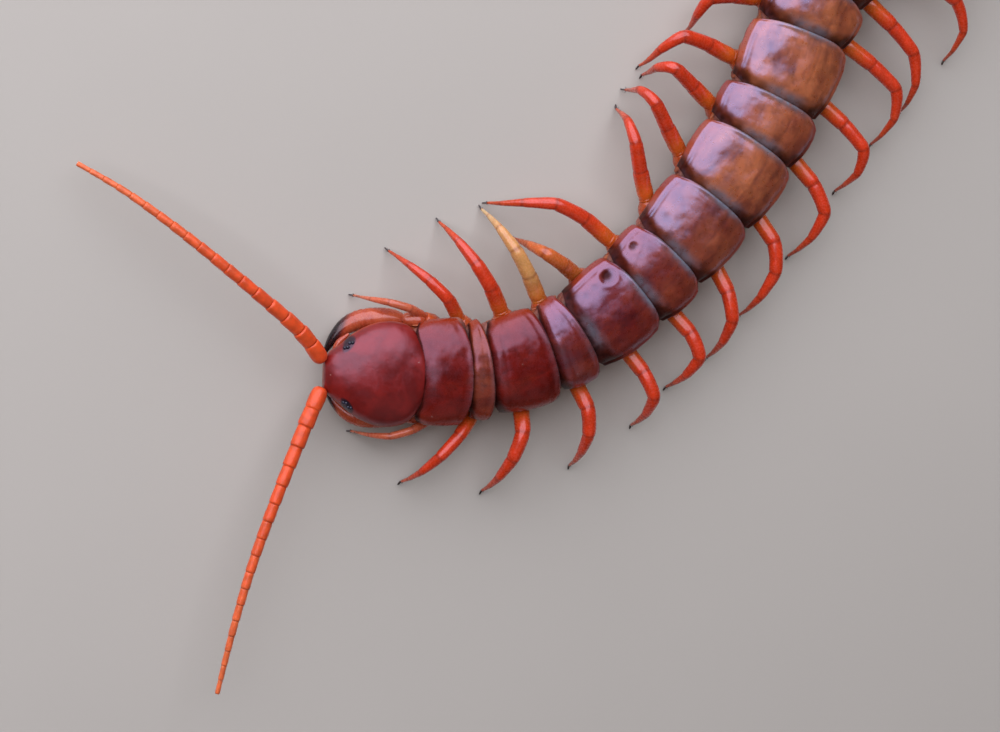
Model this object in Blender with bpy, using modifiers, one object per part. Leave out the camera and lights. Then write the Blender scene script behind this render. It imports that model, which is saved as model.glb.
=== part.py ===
"""Giant centipede, life size, as a still model that stands on its legs with its body in a loose S.

The head points to -Y and the tail to +Y. Lengths in this file are millimetres until MM makes them metres,
and angles are degrees. A heading is the way towards the tail, turned from +Y towards -X. A place beside the
body is written as (out, ahead, up): out from the midline, ahead towards the head, up from the floor.
"""

import math

import bmesh
import bpy
from mathutils import Matrix, Vector

MM = 0.001
GAP = 0.3

# Plates of the back, head shield first: length, and half of the width
HEAD_LENGTH = 12.6
PLATES = (
    (6.2, 7.0), (2.7, 6.45), (8.4, 6.4), (5.0, 6.2), (9.1, 6.3), (6.7, 6.5), (9.2, 6.75),
    (9.3, 7.2), (6.6, 7.25), (9.6, 7.25), (6.8, 7.1), (9.8, 7.0), (7.0, 6.7), (9.9, 6.7),
    (7.1, 6.6), (9.8, 6.6), (6.9, 6.5), (9.4, 6.4), (6.5, 6.1), (8.4, 5.9), (8.6, 5.5),
)
# Heading at the front of the head, behind it, and behind each plate
COURSE = (
    -38.0, -39.0, -37.5, -31.0, -20.0, -7.0, 1.5, 7.5, 13.0, 18.5, 25.0, 31.0,
    21.0, 8.0, -1.0, -7.0, -11.0, -13.0, -12.0, -9.0, -5.0, 0.0, 5.0,
)
HEAD_FRONT = (2.37, -77.52)
# How far the head shield is turned on the neck, about its front
HEAD_TURN = -2.3
PLATES_A_LENGTH = 3

# Heights of the trunk
BACK_Z = 10.0
EDGE_Z = 6.6
BELLY_DROP = 0.3
# One side of a cross-section: share of the half width, and share of the rise from edge to back
DOME = ((0.36, 0.95), (0.67, 0.76), (0.89, 0.42), (1.0, 0.0))
# Below the edge: share of the half width, and height
FLANK = ((0.95, 5.95), (0.8, 5.2), (0.83, 3.7), (0.6, 2.5))
# Along a plate: share of its length, share of its width, and how far its back dips
BARREL = ((0.0, 0.89, 0.6), (0.18, 0.96, 0.15), (0.55, 1.02, 0.0), (0.86, 1.01, 0.05), (1.0, 0.94, 0.35))
LAST_BARREL = ((0.0, 0.93, 0.5), (0.25, 1.0, 0.2), (0.6, 0.97, 0.5), (0.85, 0.85, 1.1), (1.0, 0.66, 1.9))

# Legs: where each leaves the body, the size of its coxa, and the plan length at which its knee is at KNEE_Z
ROOT_BEYOND_FLANK = 0.8
ROOT_Z = 4.4
ROOT_OUTWARD = 0.25
# Share of a plate's length at which its leg leaves: legs 1 to 7, then all the others
ROOT_SHARES = {
    "right": (0.19, -0.13, 0.5, 0.5, 0.5, 0.42, 0.45, 0.35), "left": (0.35, 0.5, 0.5, 0.5, 0.5, 0.42, 0.45, 0.35),
}
COXA_DEPTH = 2.6
COXA_RADII = (1.6, 1.15)
LEG_LENGTHS = (10.5, 14.5, 16.5)
KNEE_Z = 6.0
KNEE_RISE = 0.22
FOOT_STEM = 0.6
# Slopes of a leg's curve: rise kept at the knee, and how the shin turns down into the foot
KNEE_BEND_RISE = 0.4
FOOT_FALL = (0.7, -1.3)
LEG_RADII = (0.95, 1.12, 1.08, 1.0, 0.96, 0.88, 0.78, 0.62, 0.44, 0.28, 0.2)
# Girth of legs 1, 2 and all the others, and of the coxa of a first leg, as shares of the full ones
LEG_GIRTHS = (0.55, 0.84, 1.0)
FIRST_COXA_GIRTH = 0.75
# Knee out and ahead, foot out and ahead, for the legs that stand in no regular stride
STANCES = {
    "right": (
        (8.6, 4.0, 9.3, 8.5), (10.2, 3.0, 15.0, 8.4), (12.1, 1.9, 19.2, 4.6), (12.7, 0.6, 19.5, 1.2),
        (11.0, 2.0, 14.2, 3.3), (15.0, 2.2, 20.8, 8.4), (14.4, -4.5, 16.6, -6.8), (15.6, -2.8, 16.8, -2.7),
        (15.4, -0.8, 15.9, 1.0), (15.5, 0.9, 17.2, 6.0), (14.0, 3.5, 12.9, 7.7),
    ),
    "left": (
        (8.4, 5.4, 8.5, 9.8), (10.3, 4.5, 15.0, 9.5), (11.0, 1.9, 17.3, 6.7), (11.4, 0.9, 17.4, 4.4),
        (12.9, 0.7, 16.8, 4.4), (13.0, 1.2, 15.4, 6.6), (12.6, 3.6, 16.1, 9.4), (13.1, 3.5, 15.3, 11.7),
        (14.5, 3.8, 15.6, 11.0), (15.6, 3.7, 16.5, 9.4), (17.3, 3.2, 18.9, 10.2), (17.4, 2.1, 22.2, 8.2),
        (18.5, -2.2, 23.6, 2.6),
    ),
}
# The legs behind them: first leg of a stride, legs to a stride, how far ahead its first and last feet stand,
# how far out its first and last knees and feet are, and a knee's way ahead as a share of its foot's less an offset
NEXT_STRIDE = 14
STRIDE_LEGS = 7
STRIDE = (-5.5, 11.5)
STRIDE_KNEES_OUT = (14.2, 15.0)
STRIDE_FEET_OUT = (16.8, 15.8)
KNEE_FOLLOWS = 0.42
KNEE_OFFSET = 0.8

# Last legs, trailed behind the body
LAST_LEG_POINTS = (
    (3.3, -1.0, 4.9), (4.2, -6.8, 5.9), (5.6, -12.2, 5.6), (7.0, -17.0, 4.2), (8.3, -21.2, 2.1), (9.2, -24.5, 0.6),
    (9.2, -24.5, 0.0),
)
LAST_LEG_RADII = (1.2, 1.55, 1.3, 1.05, 0.75, 0.3, 0.2)
LAST_COXA_DEPTH = 5.0
LAST_COXA_RADII = (2.2, 1.4)

# Head: distance behind its front, half width, height of the crown and of the rim
HEAD_RINGS = (
    (0.0, 1.9, 6.8, 5.6), (0.6, 2.7, 7.4, 5.7), (1.8, 3.65, 8.1, 5.9), (3.6, 5.15, 8.8, 6.0), (6.0, 6.4, 9.3, 6.1),
    (8.5, 6.85, 9.5, 6.2), (10.6, 6.7, 9.5, 6.3), (11.9, 6.3, 9.3, 6.3), (12.3, 6.0, 9.1, 6.2),
)
HEAD_UNDER_Z = 5.2
HEAD_UNDER_HALF = 4.5
HEAD_UNDER_MOST = 0.9
# Below the rim: the turned-under edge, the drop to its inner side, and the corners of the underside
RIM_TURN = (0.97, 0.35)
RIM_INNER_DROP = 0.6
UNDER_CORNERS = ((0.97, 0.1), (0.7, 0.0))
EYE_PLACE = (3.85, -2.8, 6.85)
EYE_RADIUS = 0.75
EYE_SOCKET_GAP = 0.45
OCELLUS_RADIUS = 0.28
OCELLI = ((0.1, 0.55), (0.45, 0.1), (-0.4, 0.2), (0.1, -0.4))
OCELLI_LOOK = (0.8, 0.25)
ANTENNA_BOSS_DEPTH = 2.4
ANTENNA_BOSS_RADII = (1.2, 0.8)
ANTENNA_RADII = (1.05, 0.3)
ANTENNA_NECK = 0.7
ANTENNA_STEPS = 4
ANTENNA_POINTS = {
    "right": (
        (2.5, 0.75, 6.3), (5.9, 3.4, 7.0), (11.6, 9.8, 7.5), (18.0, 17.3, 7.0), (23.5, 24.4, 5.8), (27.2, 30.3, 4.0),
    ),
    "left": (
        (2.6, 0.8, 6.3), (6.7, 2.9, 7.0), (14.3, 6.4, 7.9), (22.5, 9.7, 8.1), (31.3, 12.5, 7.9), (40.4, 14.7, 7.0),
    ),
}
FORCIPULE_POINTS = (
    (5.9, -10.9, 3.8), (6.35, -9.6, 3.7), (6.5, -7.6, 3.6), (6.35, -5.3, 3.4), (5.6, -3.6, 3.1), (4.3, -2.2, 2.9),
    (2.8, -1.2, 2.8), (1.7, -0.7, 2.8),
)
FORCIPULE_RADII = (1.1, 1.35, 1.45, 1.35, 1.1, 0.75, 0.4, 0.14)
SHIELD_HALF = (4.75, 2.9, 1.0)
SHIELD_PLACE = (0.0, -9.2, 3.5)
MOUTH_HALF = (2.6, 1.6, 0.7)
MOUTH_PLACE = (0.0, -3.2, 3.9)
PALP_POINTS = ((1.7, -3.0, 4.0), (2.6, -2.0, 4.2), (3.7, -2.4, 4.35), (4.8, -3.7, 4.5))
PALP_RADII = (0.5, 0.45, 0.42, 0.22)

COLOURS = {
    "shell": ((0.16, 0.016, 0.012, 1.0), 0.22),
    "head": ((0.2, 0.012, 0.012, 1.0), 0.22),
    "leg": ((0.48, 0.045, 0.012, 1.0), 0.3),
    "amber": ((0.62, 0.2, 0.03, 1.0), 0.3),
    "antenna": ((0.5, 0.06, 0.025, 1.0), 0.35),
    "forcipule": ((0.42, 0.06, 0.02, 1.0), 0.25),
    "eye": ((0.012, 0.01, 0.016, 1.0), 0.1),
}
SIDES = {"right": -1, "left": 1}


def clear_scene():
    for obj in list(bpy.data.objects):
        bpy.data.objects.remove(obj)


def new_collection(name):
    made = bpy.data.collections.new(name)
    bpy.context.scene.collection.children.link(made)
    return made


def material(name):
    colour, roughness = COLOURS[name]
    made = bpy.data.materials.get(name) or bpy.data.materials.new(name)
    made.use_nodes = True
    shader = made.node_tree.nodes["Principled BSDF"]
    shader.inputs["Base Color"].default_value = colour
    shader.inputs["Roughness"].default_value = roughness
    shader.inputs["Metallic"].default_value = 0.0
    return made


def along(start, heading, turn, length):
    """The place and heading at the end of an arc that turns by so many degrees."""
    half = math.radians(turn / 2)
    chord = length * (math.sin(half) / half if turn else 1.0)
    aim = math.radians(heading + turn / 2)
    return start + chord * Vector((-math.sin(aim), math.cos(aim), 0.0)), heading + turn


def spine_joints():
    """Places on the floor under the midline, at the front of the head and behind each plate."""
    places = [Vector((*HEAD_FRONT, 0.0))]
    lengths = [HEAD_LENGTH] + [length for length, _ in PLATES]
    for length, heading, after in zip(lengths, COURSE, COURSE[1:]):
        places.append(along(places[-1], heading, after - heading, length)[0])
    return places


JOINTS = spine_joints()


def under_plate(plate, share):
    """Floor place and heading at a share of a plate's length. Plate 0 is the head shield."""
    length = PLATES[plate - 1][0] if plate else HEAD_LENGTH
    heading = COURSE[plate] if plate else COURSE[0] + HEAD_TURN
    return along(JOINTS[plate], heading, (COURSE[plate + 1] - COURSE[plate]) * share, length * share)


def stand(plate, share):
    """Floor place under a share of a plate's length, and the turn of the body there."""
    floor, heading = under_plate(plate, share)
    return floor, Matrix.Rotation(math.radians(heading), 3, "Z")


def beside(plate, share, side, place):
    """A point (out, ahead, up) beside the body, in the frame of the whole model."""
    floor, turn = stand(plate, share)
    return floor + turn @ Vector((side * place[0], -place[1], place[2]))


def section(half_width, back_z, edge_z, flank):
    """(across, up) of a closed cross-section, from the middle of the back down one side and up the other."""
    one_side = [(share * half_width, edge_z + rise * (back_z - edge_z)) for share, rise in DOME]
    one_side += [(share * half_width, height) for share, height in flank]
    belly = min(height for _, height in flank) - BELLY_DROP
    return [(0.0, back_z)] + one_side + [(0.0, belly)] + [(-x, z) for x, z in reversed(one_side)]


def loft(name, rings, collection):
    """A closed body through rings of equally many points, each end closed flat."""
    bm = bmesh.new()
    loops = [[bm.verts.new(Vector(point) * MM) for point in ring] for ring in rings]
    count = len(loops[0])
    for loop, after in zip(loops, loops[1:]):
        for i in range(count):
            bm.faces.new((loop[i], loop[(i + 1) % count], after[(i + 1) % count], after[i]))
    bm.faces.new(loops[0])
    bm.faces.new(loops[-1])
    bmesh.ops.recalc_face_normals(bm, faces=bm.faces)
    return finished(name, bm, collection)


def finished(name, bm, collection):
    mesh = bpy.data.meshes.new(name)
    bm.to_mesh(mesh)
    bm.free()
    mesh.shade_smooth()
    mesh.set_sharp_from_angle(angle=math.radians(40))
    obj = bpy.data.objects.new(name, mesh)
    collection.objects.link(obj)
    return obj


def ring_at(plate, share, outline):
    """An outline of (across, up) points, stood up across the body."""
    floor, turn = stand(plate, share)
    return [floor + turn @ Vector((x, 0.0, z)) for x, z in outline]


def tube(name, points, radii, collection, sides=1):
    """A tapering round bar along points. Two extra sides come with each step of its bevel."""
    curve = bpy.data.curves.new(name, "CURVE")
    curve.dimensions = "3D"
    curve.twist_mode = "MINIMUM"
    curve.bevel_depth = MM
    curve.bevel_resolution = sides
    curve.use_fill_caps = True
    spline = curve.splines.new("POLY")
    spline.points.add(len(points) - 1)
    for knot, point, radius in zip(spline.points, points, radii):
        knot.co = (*(Vector(point) * MM), 1.0)
        knot.radius = radius
    obj = bpy.data.objects.new(name, curve)
    collection.objects.link(obj)
    return obj


def as_mesh(obj):
    """A curve object's mesh with its caps sewn on, in place of the curve."""
    bpy.context.view_layer.update()
    graph = bpy.context.evaluated_depsgraph_get()
    mesh = bpy.data.meshes.new_from_object(obj.evaluated_get(graph))
    bm = bmesh.new()
    bm.from_mesh(mesh)
    bmesh.ops.remove_doubles(bm, verts=bm.verts, dist=1e-6)
    bmesh.ops.recalc_face_normals(bm, faces=bm.faces)
    bpy.data.meshes.remove(mesh)
    name, collection, place = obj.name, obj.users_collection[0], obj.matrix_world.copy()
    bpy.data.objects.remove(obj)
    made = finished(name, bm, collection)
    made.matrix_world = place
    return made


def boss(name, foot, tip, radii, collection, sides=10):
    """A blunt cone from foot to tip, whose flat end faces along it."""
    axis = Vector(tip) - Vector(foot)
    wide, narrow = Vector(radii) * MM
    bm = bmesh.new()
    bmesh.ops.create_cone(bm, cap_ends=True, segments=sides, radius1=wide, radius2=narrow, depth=axis.length * MM)
    turn = Vector((0.0, 0.0, 1.0)).rotation_difference(axis).to_matrix().to_4x4()
    place = Matrix.Translation((Vector(foot) + Vector(tip)) / 2 * MM)
    bmesh.ops.transform(bm, matrix=place @ turn, verts=bm.verts)
    return finished(name, bm, collection)


def ball(name, place, halves, collection, rows=6):
    bm = bmesh.new()
    scale = Matrix.Diagonal((*(Vector(halves) * MM), 1.0))
    bmesh.ops.create_uvsphere(bm, u_segments=2 * rows, v_segments=rows, radius=1.0)
    bmesh.ops.transform(bm, matrix=Matrix.Translation(Vector(place) * MM) @ scale, verts=bm.verts)
    return finished(name, bm, collection)


def combine(obj, helpers, operation):
    """Joins or cuts with all of a collection's meshes at once, then removes them and any loose scrap."""
    wire_frames(helpers)
    modifier = obj.modifiers.new("Combine", "BOOLEAN")
    modifier.operation = operation
    modifier.operand_type = "COLLECTION"
    modifier.collection = helpers
    bpy.context.view_layer.update()
    graph = bpy.context.evaluated_depsgraph_get()
    mesh = bpy.data.meshes.new_from_object(obj.evaluated_get(graph))
    obj.modifiers.clear()
    old = obj.data
    obj.data = mesh
    bpy.data.meshes.remove(old)
    for helper in list(helpers.objects):
        bpy.data.objects.remove(helper)
    bpy.data.collections.remove(helpers)
    keep_largest(mesh)
    mesh.name = obj.name


def keep_largest(mesh):
    bm = bmesh.new()
    bm.from_mesh(mesh)
    left, shells = set(bm.verts), []
    while left:
        shell, front = set(), [left.pop()]
        while front:
            vert = front.pop()
            shell.add(vert)
            near = {edge.other_vert(vert) for edge in vert.link_edges} & left
            left -= near
            front += near
        shells.append(shell)
    shells.sort(key=len)
    bmesh.ops.delete(bm, geom=[vert for shell in shells[:-1] for vert in shell], context="VERTS")
    bm.to_mesh(mesh)
    bm.free()


def cutters(name):
    made = new_collection(name)
    made.hide_render = True
    return made


def wire_frames(collection):
    for obj in collection.objects:
        obj.display_type = "WIRE"


def finish_node(obj, colour, root):
    obj.data.materials.clear()
    obj.data.materials.append(material(colour))
    obj.parent = root


def stance(leg, side_name):
    """Knee out and ahead, foot out and ahead, of one leg."""
    seen = STANCES[side_name]
    if leg <= len(seen):
        return seen[leg - 1]
    share = (leg - NEXT_STRIDE) % STRIDE_LEGS / (STRIDE_LEGS - 1)
    ahead, knee_out, foot_out = (
        first + share * (last - first) for first, last in (STRIDE, STRIDE_KNEES_OUT, STRIDE_FEET_OUT)
    )
    return knee_out, KNEE_FOLLOWS * ahead - KNEE_OFFSET, foot_out, ahead


def hermite(start, end, leave, arrive, share):
    """A point of the cubic that leaves the start and arrives at the end with the given slopes."""
    s, t = share, 1.0 - share
    return start * t * t * (1 + 2 * s) + end * s * s * (1 + 2 * t) + leave * s * t * t - arrive * s * s * t


def leg_course(leg, side_name):
    """Root, its direction, and the points of a leg in the frame (out to the left, back, up) at its root."""
    side = SIDES[side_name]
    knee_out, knee_ahead, foot_out, foot_ahead = stance(leg, side_name)
    root_out = FLANK[-2][0] * PLATES[leg - 1][1] + ROOT_BEYOND_FLANK
    root = Vector((side * root_out, 0.0, ROOT_Z))
    thigh_plan = math.hypot(knee_out - root_out, knee_ahead)
    shin_plan = math.hypot(foot_out - knee_out, foot_ahead - knee_ahead)
    slack = LEG_LENGTHS[min(leg, len(LEG_LENGTHS)) - 1] - thigh_plan - shin_plan
    knee = Vector((side * knee_out, -knee_ahead, KNEE_Z + KNEE_RISE * slack))
    foot = Vector((side * foot_out, -foot_ahead, FOOT_STEM))
    aim = ((knee - root).normalized() + Vector((side * ROOT_OUTWARD, 0.0, 0.0))).normalized()
    start = root + aim * GAP
    bend = (foot - root) / 2
    bend.z *= KNEE_BEND_RISE
    shin = foot - knee
    fall = Vector((shin.x * FOOT_FALL[0], shin.y * FOOT_FALL[0], shin.length * FOOT_FALL[1]))
    half = (len(LEG_RADII) - 1) // 2
    leave = aim * (knee - start).length
    thigh_points = [hermite(start, knee, leave, bend, i / half) for i in range(half)]
    shin_points = [hermite(knee, foot, bend, fall, i / half) for i in range(half)]
    return root, aim, thigh_points + shin_points + [foot, foot - Vector((0.0, 0.0, FOOT_STEM))]


def stand_of_leg(leg, side_name):
    shares = ROOT_SHARES[side_name]
    return stand(leg, shares[min(leg, len(shares)) - 1])


def build_leg(leg, side_name, collection, root_empty):
    floor, turn = stand_of_leg(leg, side_name)
    root, _, points = leg_course(leg, side_name)
    girth = LEG_GIRTHS[min(leg, len(LEG_GIRTHS)) - 1]
    radii = [girth * radius for radius in LEG_RADII[: len(points) - 2]] + [LEG_RADII[-1]] * 2
    obj = tube(f"leg_{side_name}_{leg:02d}", [point - root for point in points], radii, collection)
    obj.location = (floor + turn @ root) * MM
    obj.rotation_euler = turn.to_euler()
    amber = leg == 4 and side_name == "right"
    finish_node(obj, "amber" if amber else "leg", root_empty)


def build_trunk(number, collection, root_empty):
    """Three plates in one length, each barrel-shaped, with the coxae of their legs."""
    first = (number - 1) * PLATES_A_LENGTH + 1
    rings = []
    for plate in range(first, first + PLATES_A_LENGTH):
        length, half_width = PLATES[plate - 1]
        last = plate == len(PLATES)
        for share, wide, dip in LAST_BARREL if last else BARREL:
            shrink = GAP / 2 / length
            at = min(max(share, shrink), 1.0 if last else 1.0 - shrink)
            outline = section(half_width * wide, BACK_Z - dip, EDGE_Z - dip / 2, FLANK)
            rings.append(ring_at(plate, at, outline))
    name = f"trunk_{number}"
    trunk = loft(name, rings, collection)
    coxae = cutters(name + "_coxae")
    for plate in range(first, first + PLATES_A_LENGTH):
        for side_name, side in SIDES.items():
            if plate == len(PLATES):
                add_last_coxa(side, coxae)
                continue
            floor, turn = stand_of_leg(plate, side_name)
            root, aim, _ = leg_course(plate, side_name)
            foot = floor + turn @ (root - aim * COXA_DEPTH)
            girth = FIRST_COXA_GIRTH if plate == 1 else 1.0
            radii = [girth * radius for radius in COXA_RADII]
            boss(f"coxa_{side_name}_{plate}", foot, floor + turn @ root, radii, coxae)
    combine(trunk, coxae, "UNION")
    finish_node(trunk, "shell", root_empty)


def last_leg_points(side):
    return [beside(len(PLATES), 1.0, side, point) for point in LAST_LEG_POINTS]


def add_last_coxa(side, helpers):
    start, after = last_leg_points(side)[:2]
    aim = (after - start).normalized()
    boss(f"last_coxa_{side}", start - aim * LAST_COXA_DEPTH, start - aim * GAP, LAST_COXA_RADII, helpers)


def build_last_leg(side_name, collection, root_empty):
    points = last_leg_points(SIDES[side_name])
    start = points[0].copy()
    obj = tube(f"leg_{side_name}_21", [point - start for point in points], LAST_LEG_RADII, collection, 2)
    obj.location = start * MM
    finish_node(obj, "leg", root_empty)


def head_rings():
    rings = []
    for behind, half_width, crown, rim in HEAD_RINGS:
        under = min(HEAD_UNDER_HALF / half_width, HEAD_UNDER_MOST)
        flank = [(RIM_TURN[0], rim - RIM_TURN[1]), (under, rim - RIM_INNER_DROP)]
        flank += [(under * share, HEAD_UNDER_Z + rise) for share, rise in UNDER_CORNERS]
        rings.append(ring_at(0, behind / HEAD_LENGTH, section(half_width, crown, rim, flank)))
    return rings


def on_head(side, place):
    """A point (out, ahead, up) from the front of the head shield, in line with the shield."""
    return beside(0, 0.0, side, place)


def neck_turn():
    """The turn of what the neck carries beside the head shield."""
    return Matrix.Rotation(math.radians(COURSE[0]), 3, "Z")


def on_neck(side, place):
    """A point (out, ahead, up) from the front of the head shield, in line with the neck."""
    return JOINTS[0] + neck_turn() @ Vector((side * place[0], -place[1], place[2]))


def smooth_path(points, steps):
    """Points of a smooth curve through the given ones, with so many steps between each pair."""
    path = []
    for i in range(len(points) - 1):
        before = points[max(i - 1, 0)]
        start, end = points[i], points[i + 1]
        after = points[min(i + 2, len(points) - 1)]
        leave, arrive = (end - before) / 2, (after - start) / 2
        path += [hermite(start, end, leave, arrive, step / steps) for step in range(steps)]
    return path + [points[-1]]


def taper(radii, count):
    return [radii[0] + (radii[1] - radii[0]) * i / (count - 1) for i in range(count)]


def build_head(collection, root_empty):
    head = loft("head", head_rings(), collection)
    bosses = cutters("head_bosses")
    for side_name in SIDES:
        start, after = antenna_path(side_name)[:2]
        aim = (after - start).normalized()
        foot, tip = start - aim * ANTENNA_BOSS_DEPTH, start - aim * GAP
        boss(f"antenna_boss_{side_name}", foot, tip, ANTENNA_BOSS_RADII, bosses, 12)
    combine(head, bosses, "UNION")
    sockets = cutters("eye_sockets")
    for side in SIDES.values():
        radius = EYE_RADIUS + EYE_SOCKET_GAP
        ball(f"socket_{side}", on_head(side, EYE_PLACE), (radius, radius, radius), sockets, 8)
    combine(head, sockets, "DIFFERENCE")
    finish_node(head, "head", root_empty)


def build_eye(side_name, collection, root_empty):
    """A low mound with four single-lens eyes on it."""
    side = SIDES[side_name]
    eye = ball(f"eye_{side_name}", on_head(side, EYE_PLACE), (EYE_RADIUS,) * 3, collection)
    lenses = cutters(f"lenses_{side_name}")
    for i, (ahead, up) in enumerate(OCELLI):
        tilt = math.sqrt(EYE_RADIUS**2 - ahead**2 - up**2)
        place = Vector(EYE_PLACE) + Vector((OCELLI_LOOK[0] * tilt, ahead, up + OCELLI_LOOK[1] * tilt))
        ball(f"lens_{i}", on_head(side, place), (OCELLUS_RADIUS,) * 3, lenses, 5)
    combine(eye, lenses, "UNION")
    finish_node(eye, "eye", root_empty)


def antenna_path(side_name):
    return smooth_path([on_neck(SIDES[side_name], place) for place in ANTENNA_POINTS[side_name]], ANTENNA_STEPS)


def build_antenna(side_name, collection, root_empty):
    path = antenna_path(side_name)
    start = path[0].copy()
    radii = [ANTENNA_NECK] + taper(ANTENNA_RADII, len(path) - 1)
    obj = tube(f"antenna_{side_name}", [point - start for point in path], radii, collection, 2)
    obj.location = start * MM
    finish_node(obj, "antenna", root_empty)


def build_forcipule(side_name, collection, root_empty):
    """A poison claw: stout at its root, curved in to a point under the head."""
    points = [on_neck(SIDES[side_name], place) for place in FORCIPULE_POINTS]
    start = points[0].copy()
    obj = tube(f"forcipule_{side_name}", [point - start for point in points], FORCIPULE_RADII, collection, 3)
    obj.location = start * MM
    finish_node(obj, "forcipule", root_empty)


def cushion(name, place, halves, collection):
    """A box with its edges drawn round by subdivision."""
    bm = bmesh.new()
    bmesh.ops.create_cube(bm, size=2.0)
    scale = Matrix.Diagonal((*(Vector(halves) * MM), 1.0))
    bmesh.ops.transform(bm, matrix=scale, verts=bm.verts)
    bmesh.ops.subdivide_edges(bm, edges=bm.edges, cuts=1, use_grid_fill=True)
    obj = finished(name, bm, collection)
    rounding = obj.modifiers.new("Rounding", "SUBSURF")
    rounding.levels = rounding.render_levels = 1
    obj.rotation_euler = neck_turn().to_euler()
    obj.location = on_neck(1, place) * MM
    return obj


def build_shield(collection, root_empty):
    """The plate under the head that carries the poison claws."""
    shield = cushion("coxosternite", SHIELD_PLACE, SHIELD_HALF, collection)
    finish_node(shield, "forcipule", root_empty)


def build_mouthparts(collection, root_empty):
    """The maxillae under the front of the head, with a palp on each side."""
    mouth = ball("mouthparts", on_neck(1, MOUTH_PLACE), MOUTH_HALF, collection, 8)
    palps = cutters("palps")
    for side in SIDES.values():
        points = [on_neck(side, place) for place in PALP_POINTS]
        as_mesh(tube(f"palp_{side}", points, PALP_RADII, palps, 1))
    combine(mouth, palps, "UNION")
    finish_node(mouth, "forcipule", root_empty)


def main():
    clear_scene()
    collection = new_collection("giant_centipede")
    root_empty = bpy.data.objects.new("giant_centipede", None)
    collection.objects.link(root_empty)
    build_head(collection, root_empty)
    build_shield(collection, root_empty)
    build_mouthparts(collection, root_empty)
    for number in range(1, len(PLATES) // PLATES_A_LENGTH + 1):
        build_trunk(number, collection, root_empty)
    for side_name in SIDES:
        build_eye(side_name, collection, root_empty)
        build_antenna(side_name, collection, root_empty)
        build_forcipule(side_name, collection, root_empty)
        for leg in range(1, len(PLATES)):
            build_leg(leg, side_name, collection, root_empty)
        build_last_leg(side_name, collection, root_empty)


main()
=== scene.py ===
"""Giant centipede, life size: the finished look of the still model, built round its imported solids.

The head points to -Y and the tail to +Y. Lengths in the tables are millimetres until MM makes them metres, and
angles are degrees. A heading is the way towards the tail, turned from +Y towards -X. A place beside the body is
written as (out, ahead, up): out from the midline, ahead towards the head, up from the floor.
"""

import math

import bmesh
import bpy
import numpy as np
from bpy.props import FloatProperty, FloatVectorProperty, IntProperty, PointerProperty
from mathutils import Matrix, Vector, noise


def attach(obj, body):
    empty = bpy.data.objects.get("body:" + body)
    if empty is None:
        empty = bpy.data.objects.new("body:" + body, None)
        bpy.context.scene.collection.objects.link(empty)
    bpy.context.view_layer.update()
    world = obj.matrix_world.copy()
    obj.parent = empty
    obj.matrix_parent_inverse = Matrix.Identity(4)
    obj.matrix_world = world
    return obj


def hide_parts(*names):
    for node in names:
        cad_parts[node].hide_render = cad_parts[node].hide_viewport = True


bl_info = {
    "name": "Giant centipede",
    "version": (1, 0, 0),
    "blender": (4, 5, 0),
    "location": "3D View > Sidebar > Centipede",
    "description": "Builds the finished look of a life-size giant centipede round its solids",
    "category": "Object",
}

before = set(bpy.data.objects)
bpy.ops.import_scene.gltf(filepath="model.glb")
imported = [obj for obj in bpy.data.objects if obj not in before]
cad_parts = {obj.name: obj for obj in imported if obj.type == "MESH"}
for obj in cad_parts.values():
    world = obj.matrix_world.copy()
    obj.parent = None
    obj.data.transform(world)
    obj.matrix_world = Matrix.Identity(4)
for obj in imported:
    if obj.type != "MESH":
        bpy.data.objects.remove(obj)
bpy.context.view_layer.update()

MM = 0.001
SIDES = {"right": -1, "left": 1}

# Length of the head and its neck joint, and length and half width of each plate of the back
HEAD_LENGTH = 12.6
PLATES = (
    (6.2, 7.0), (2.7, 6.45), (8.4, 6.4), (5.0, 6.2), (9.1, 6.3), (6.7, 6.5), (9.2, 6.75),
    (9.3, 7.2), (6.6, 7.25), (9.6, 7.25), (6.8, 7.1), (9.8, 7.0), (7.0, 6.7), (9.9, 6.7),
    (7.1, 6.6), (9.8, 6.6), (6.9, 6.5), (9.4, 6.4), (6.5, 6.1), (8.4, 5.9), (8.6, 5.5),
)
# Heading at the front of the head, behind it, and behind each plate
COURSE = (
    -38.0, -39.0, -37.5, -31.0, -20.0, -7.0, 1.5, 7.5, 13.0, 18.5, 25.0, 31.0,
    21.0, 8.0, -1.0, -7.0, -11.0, -13.0, -12.0, -9.0, -5.0, 0.0, 5.0,
)
HEAD_FRONT = (2.37, -77.52)
# How far the head shield is turned on the neck, about its front
HEAD_TURN = -2.3
# Heights of the back's ridge and of the plates' side edges
BACK_Z = 10.0
EDGE_Z = 6.6

# Back plates. Width along a plate, then along plate 1 and the last one: share of its length, share of its width
WIDTHS = ((0.0, 0.9), (0.12, 0.945), (0.35, 1.0), (0.62, 1.035), (0.86, 1.02), (0.95, 0.985), (1.0, 0.94))
NECK_WIDTHS = ((-0.1, 0.9), (0.0, 0.94), (0.12, 0.975), (0.35, 1.0), (0.7, 1.0), (0.9, 0.98), (1.0, 0.95))
LAST_WIDTHS = ((0.0, 0.93), (0.25, 1.0), (0.6, 0.97), (0.85, 0.85), (1.0, 0.62))
# Dip of the back at so many millimetres behind a plate's front edge, and ahead of its hind edge
FRONT_DIP = ((0.0, 1.0), (0.85, 0.85), (1.3, 0.62), (1.8, 0.3), (2.4, 0.08), (3.2, 0.0))
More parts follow.
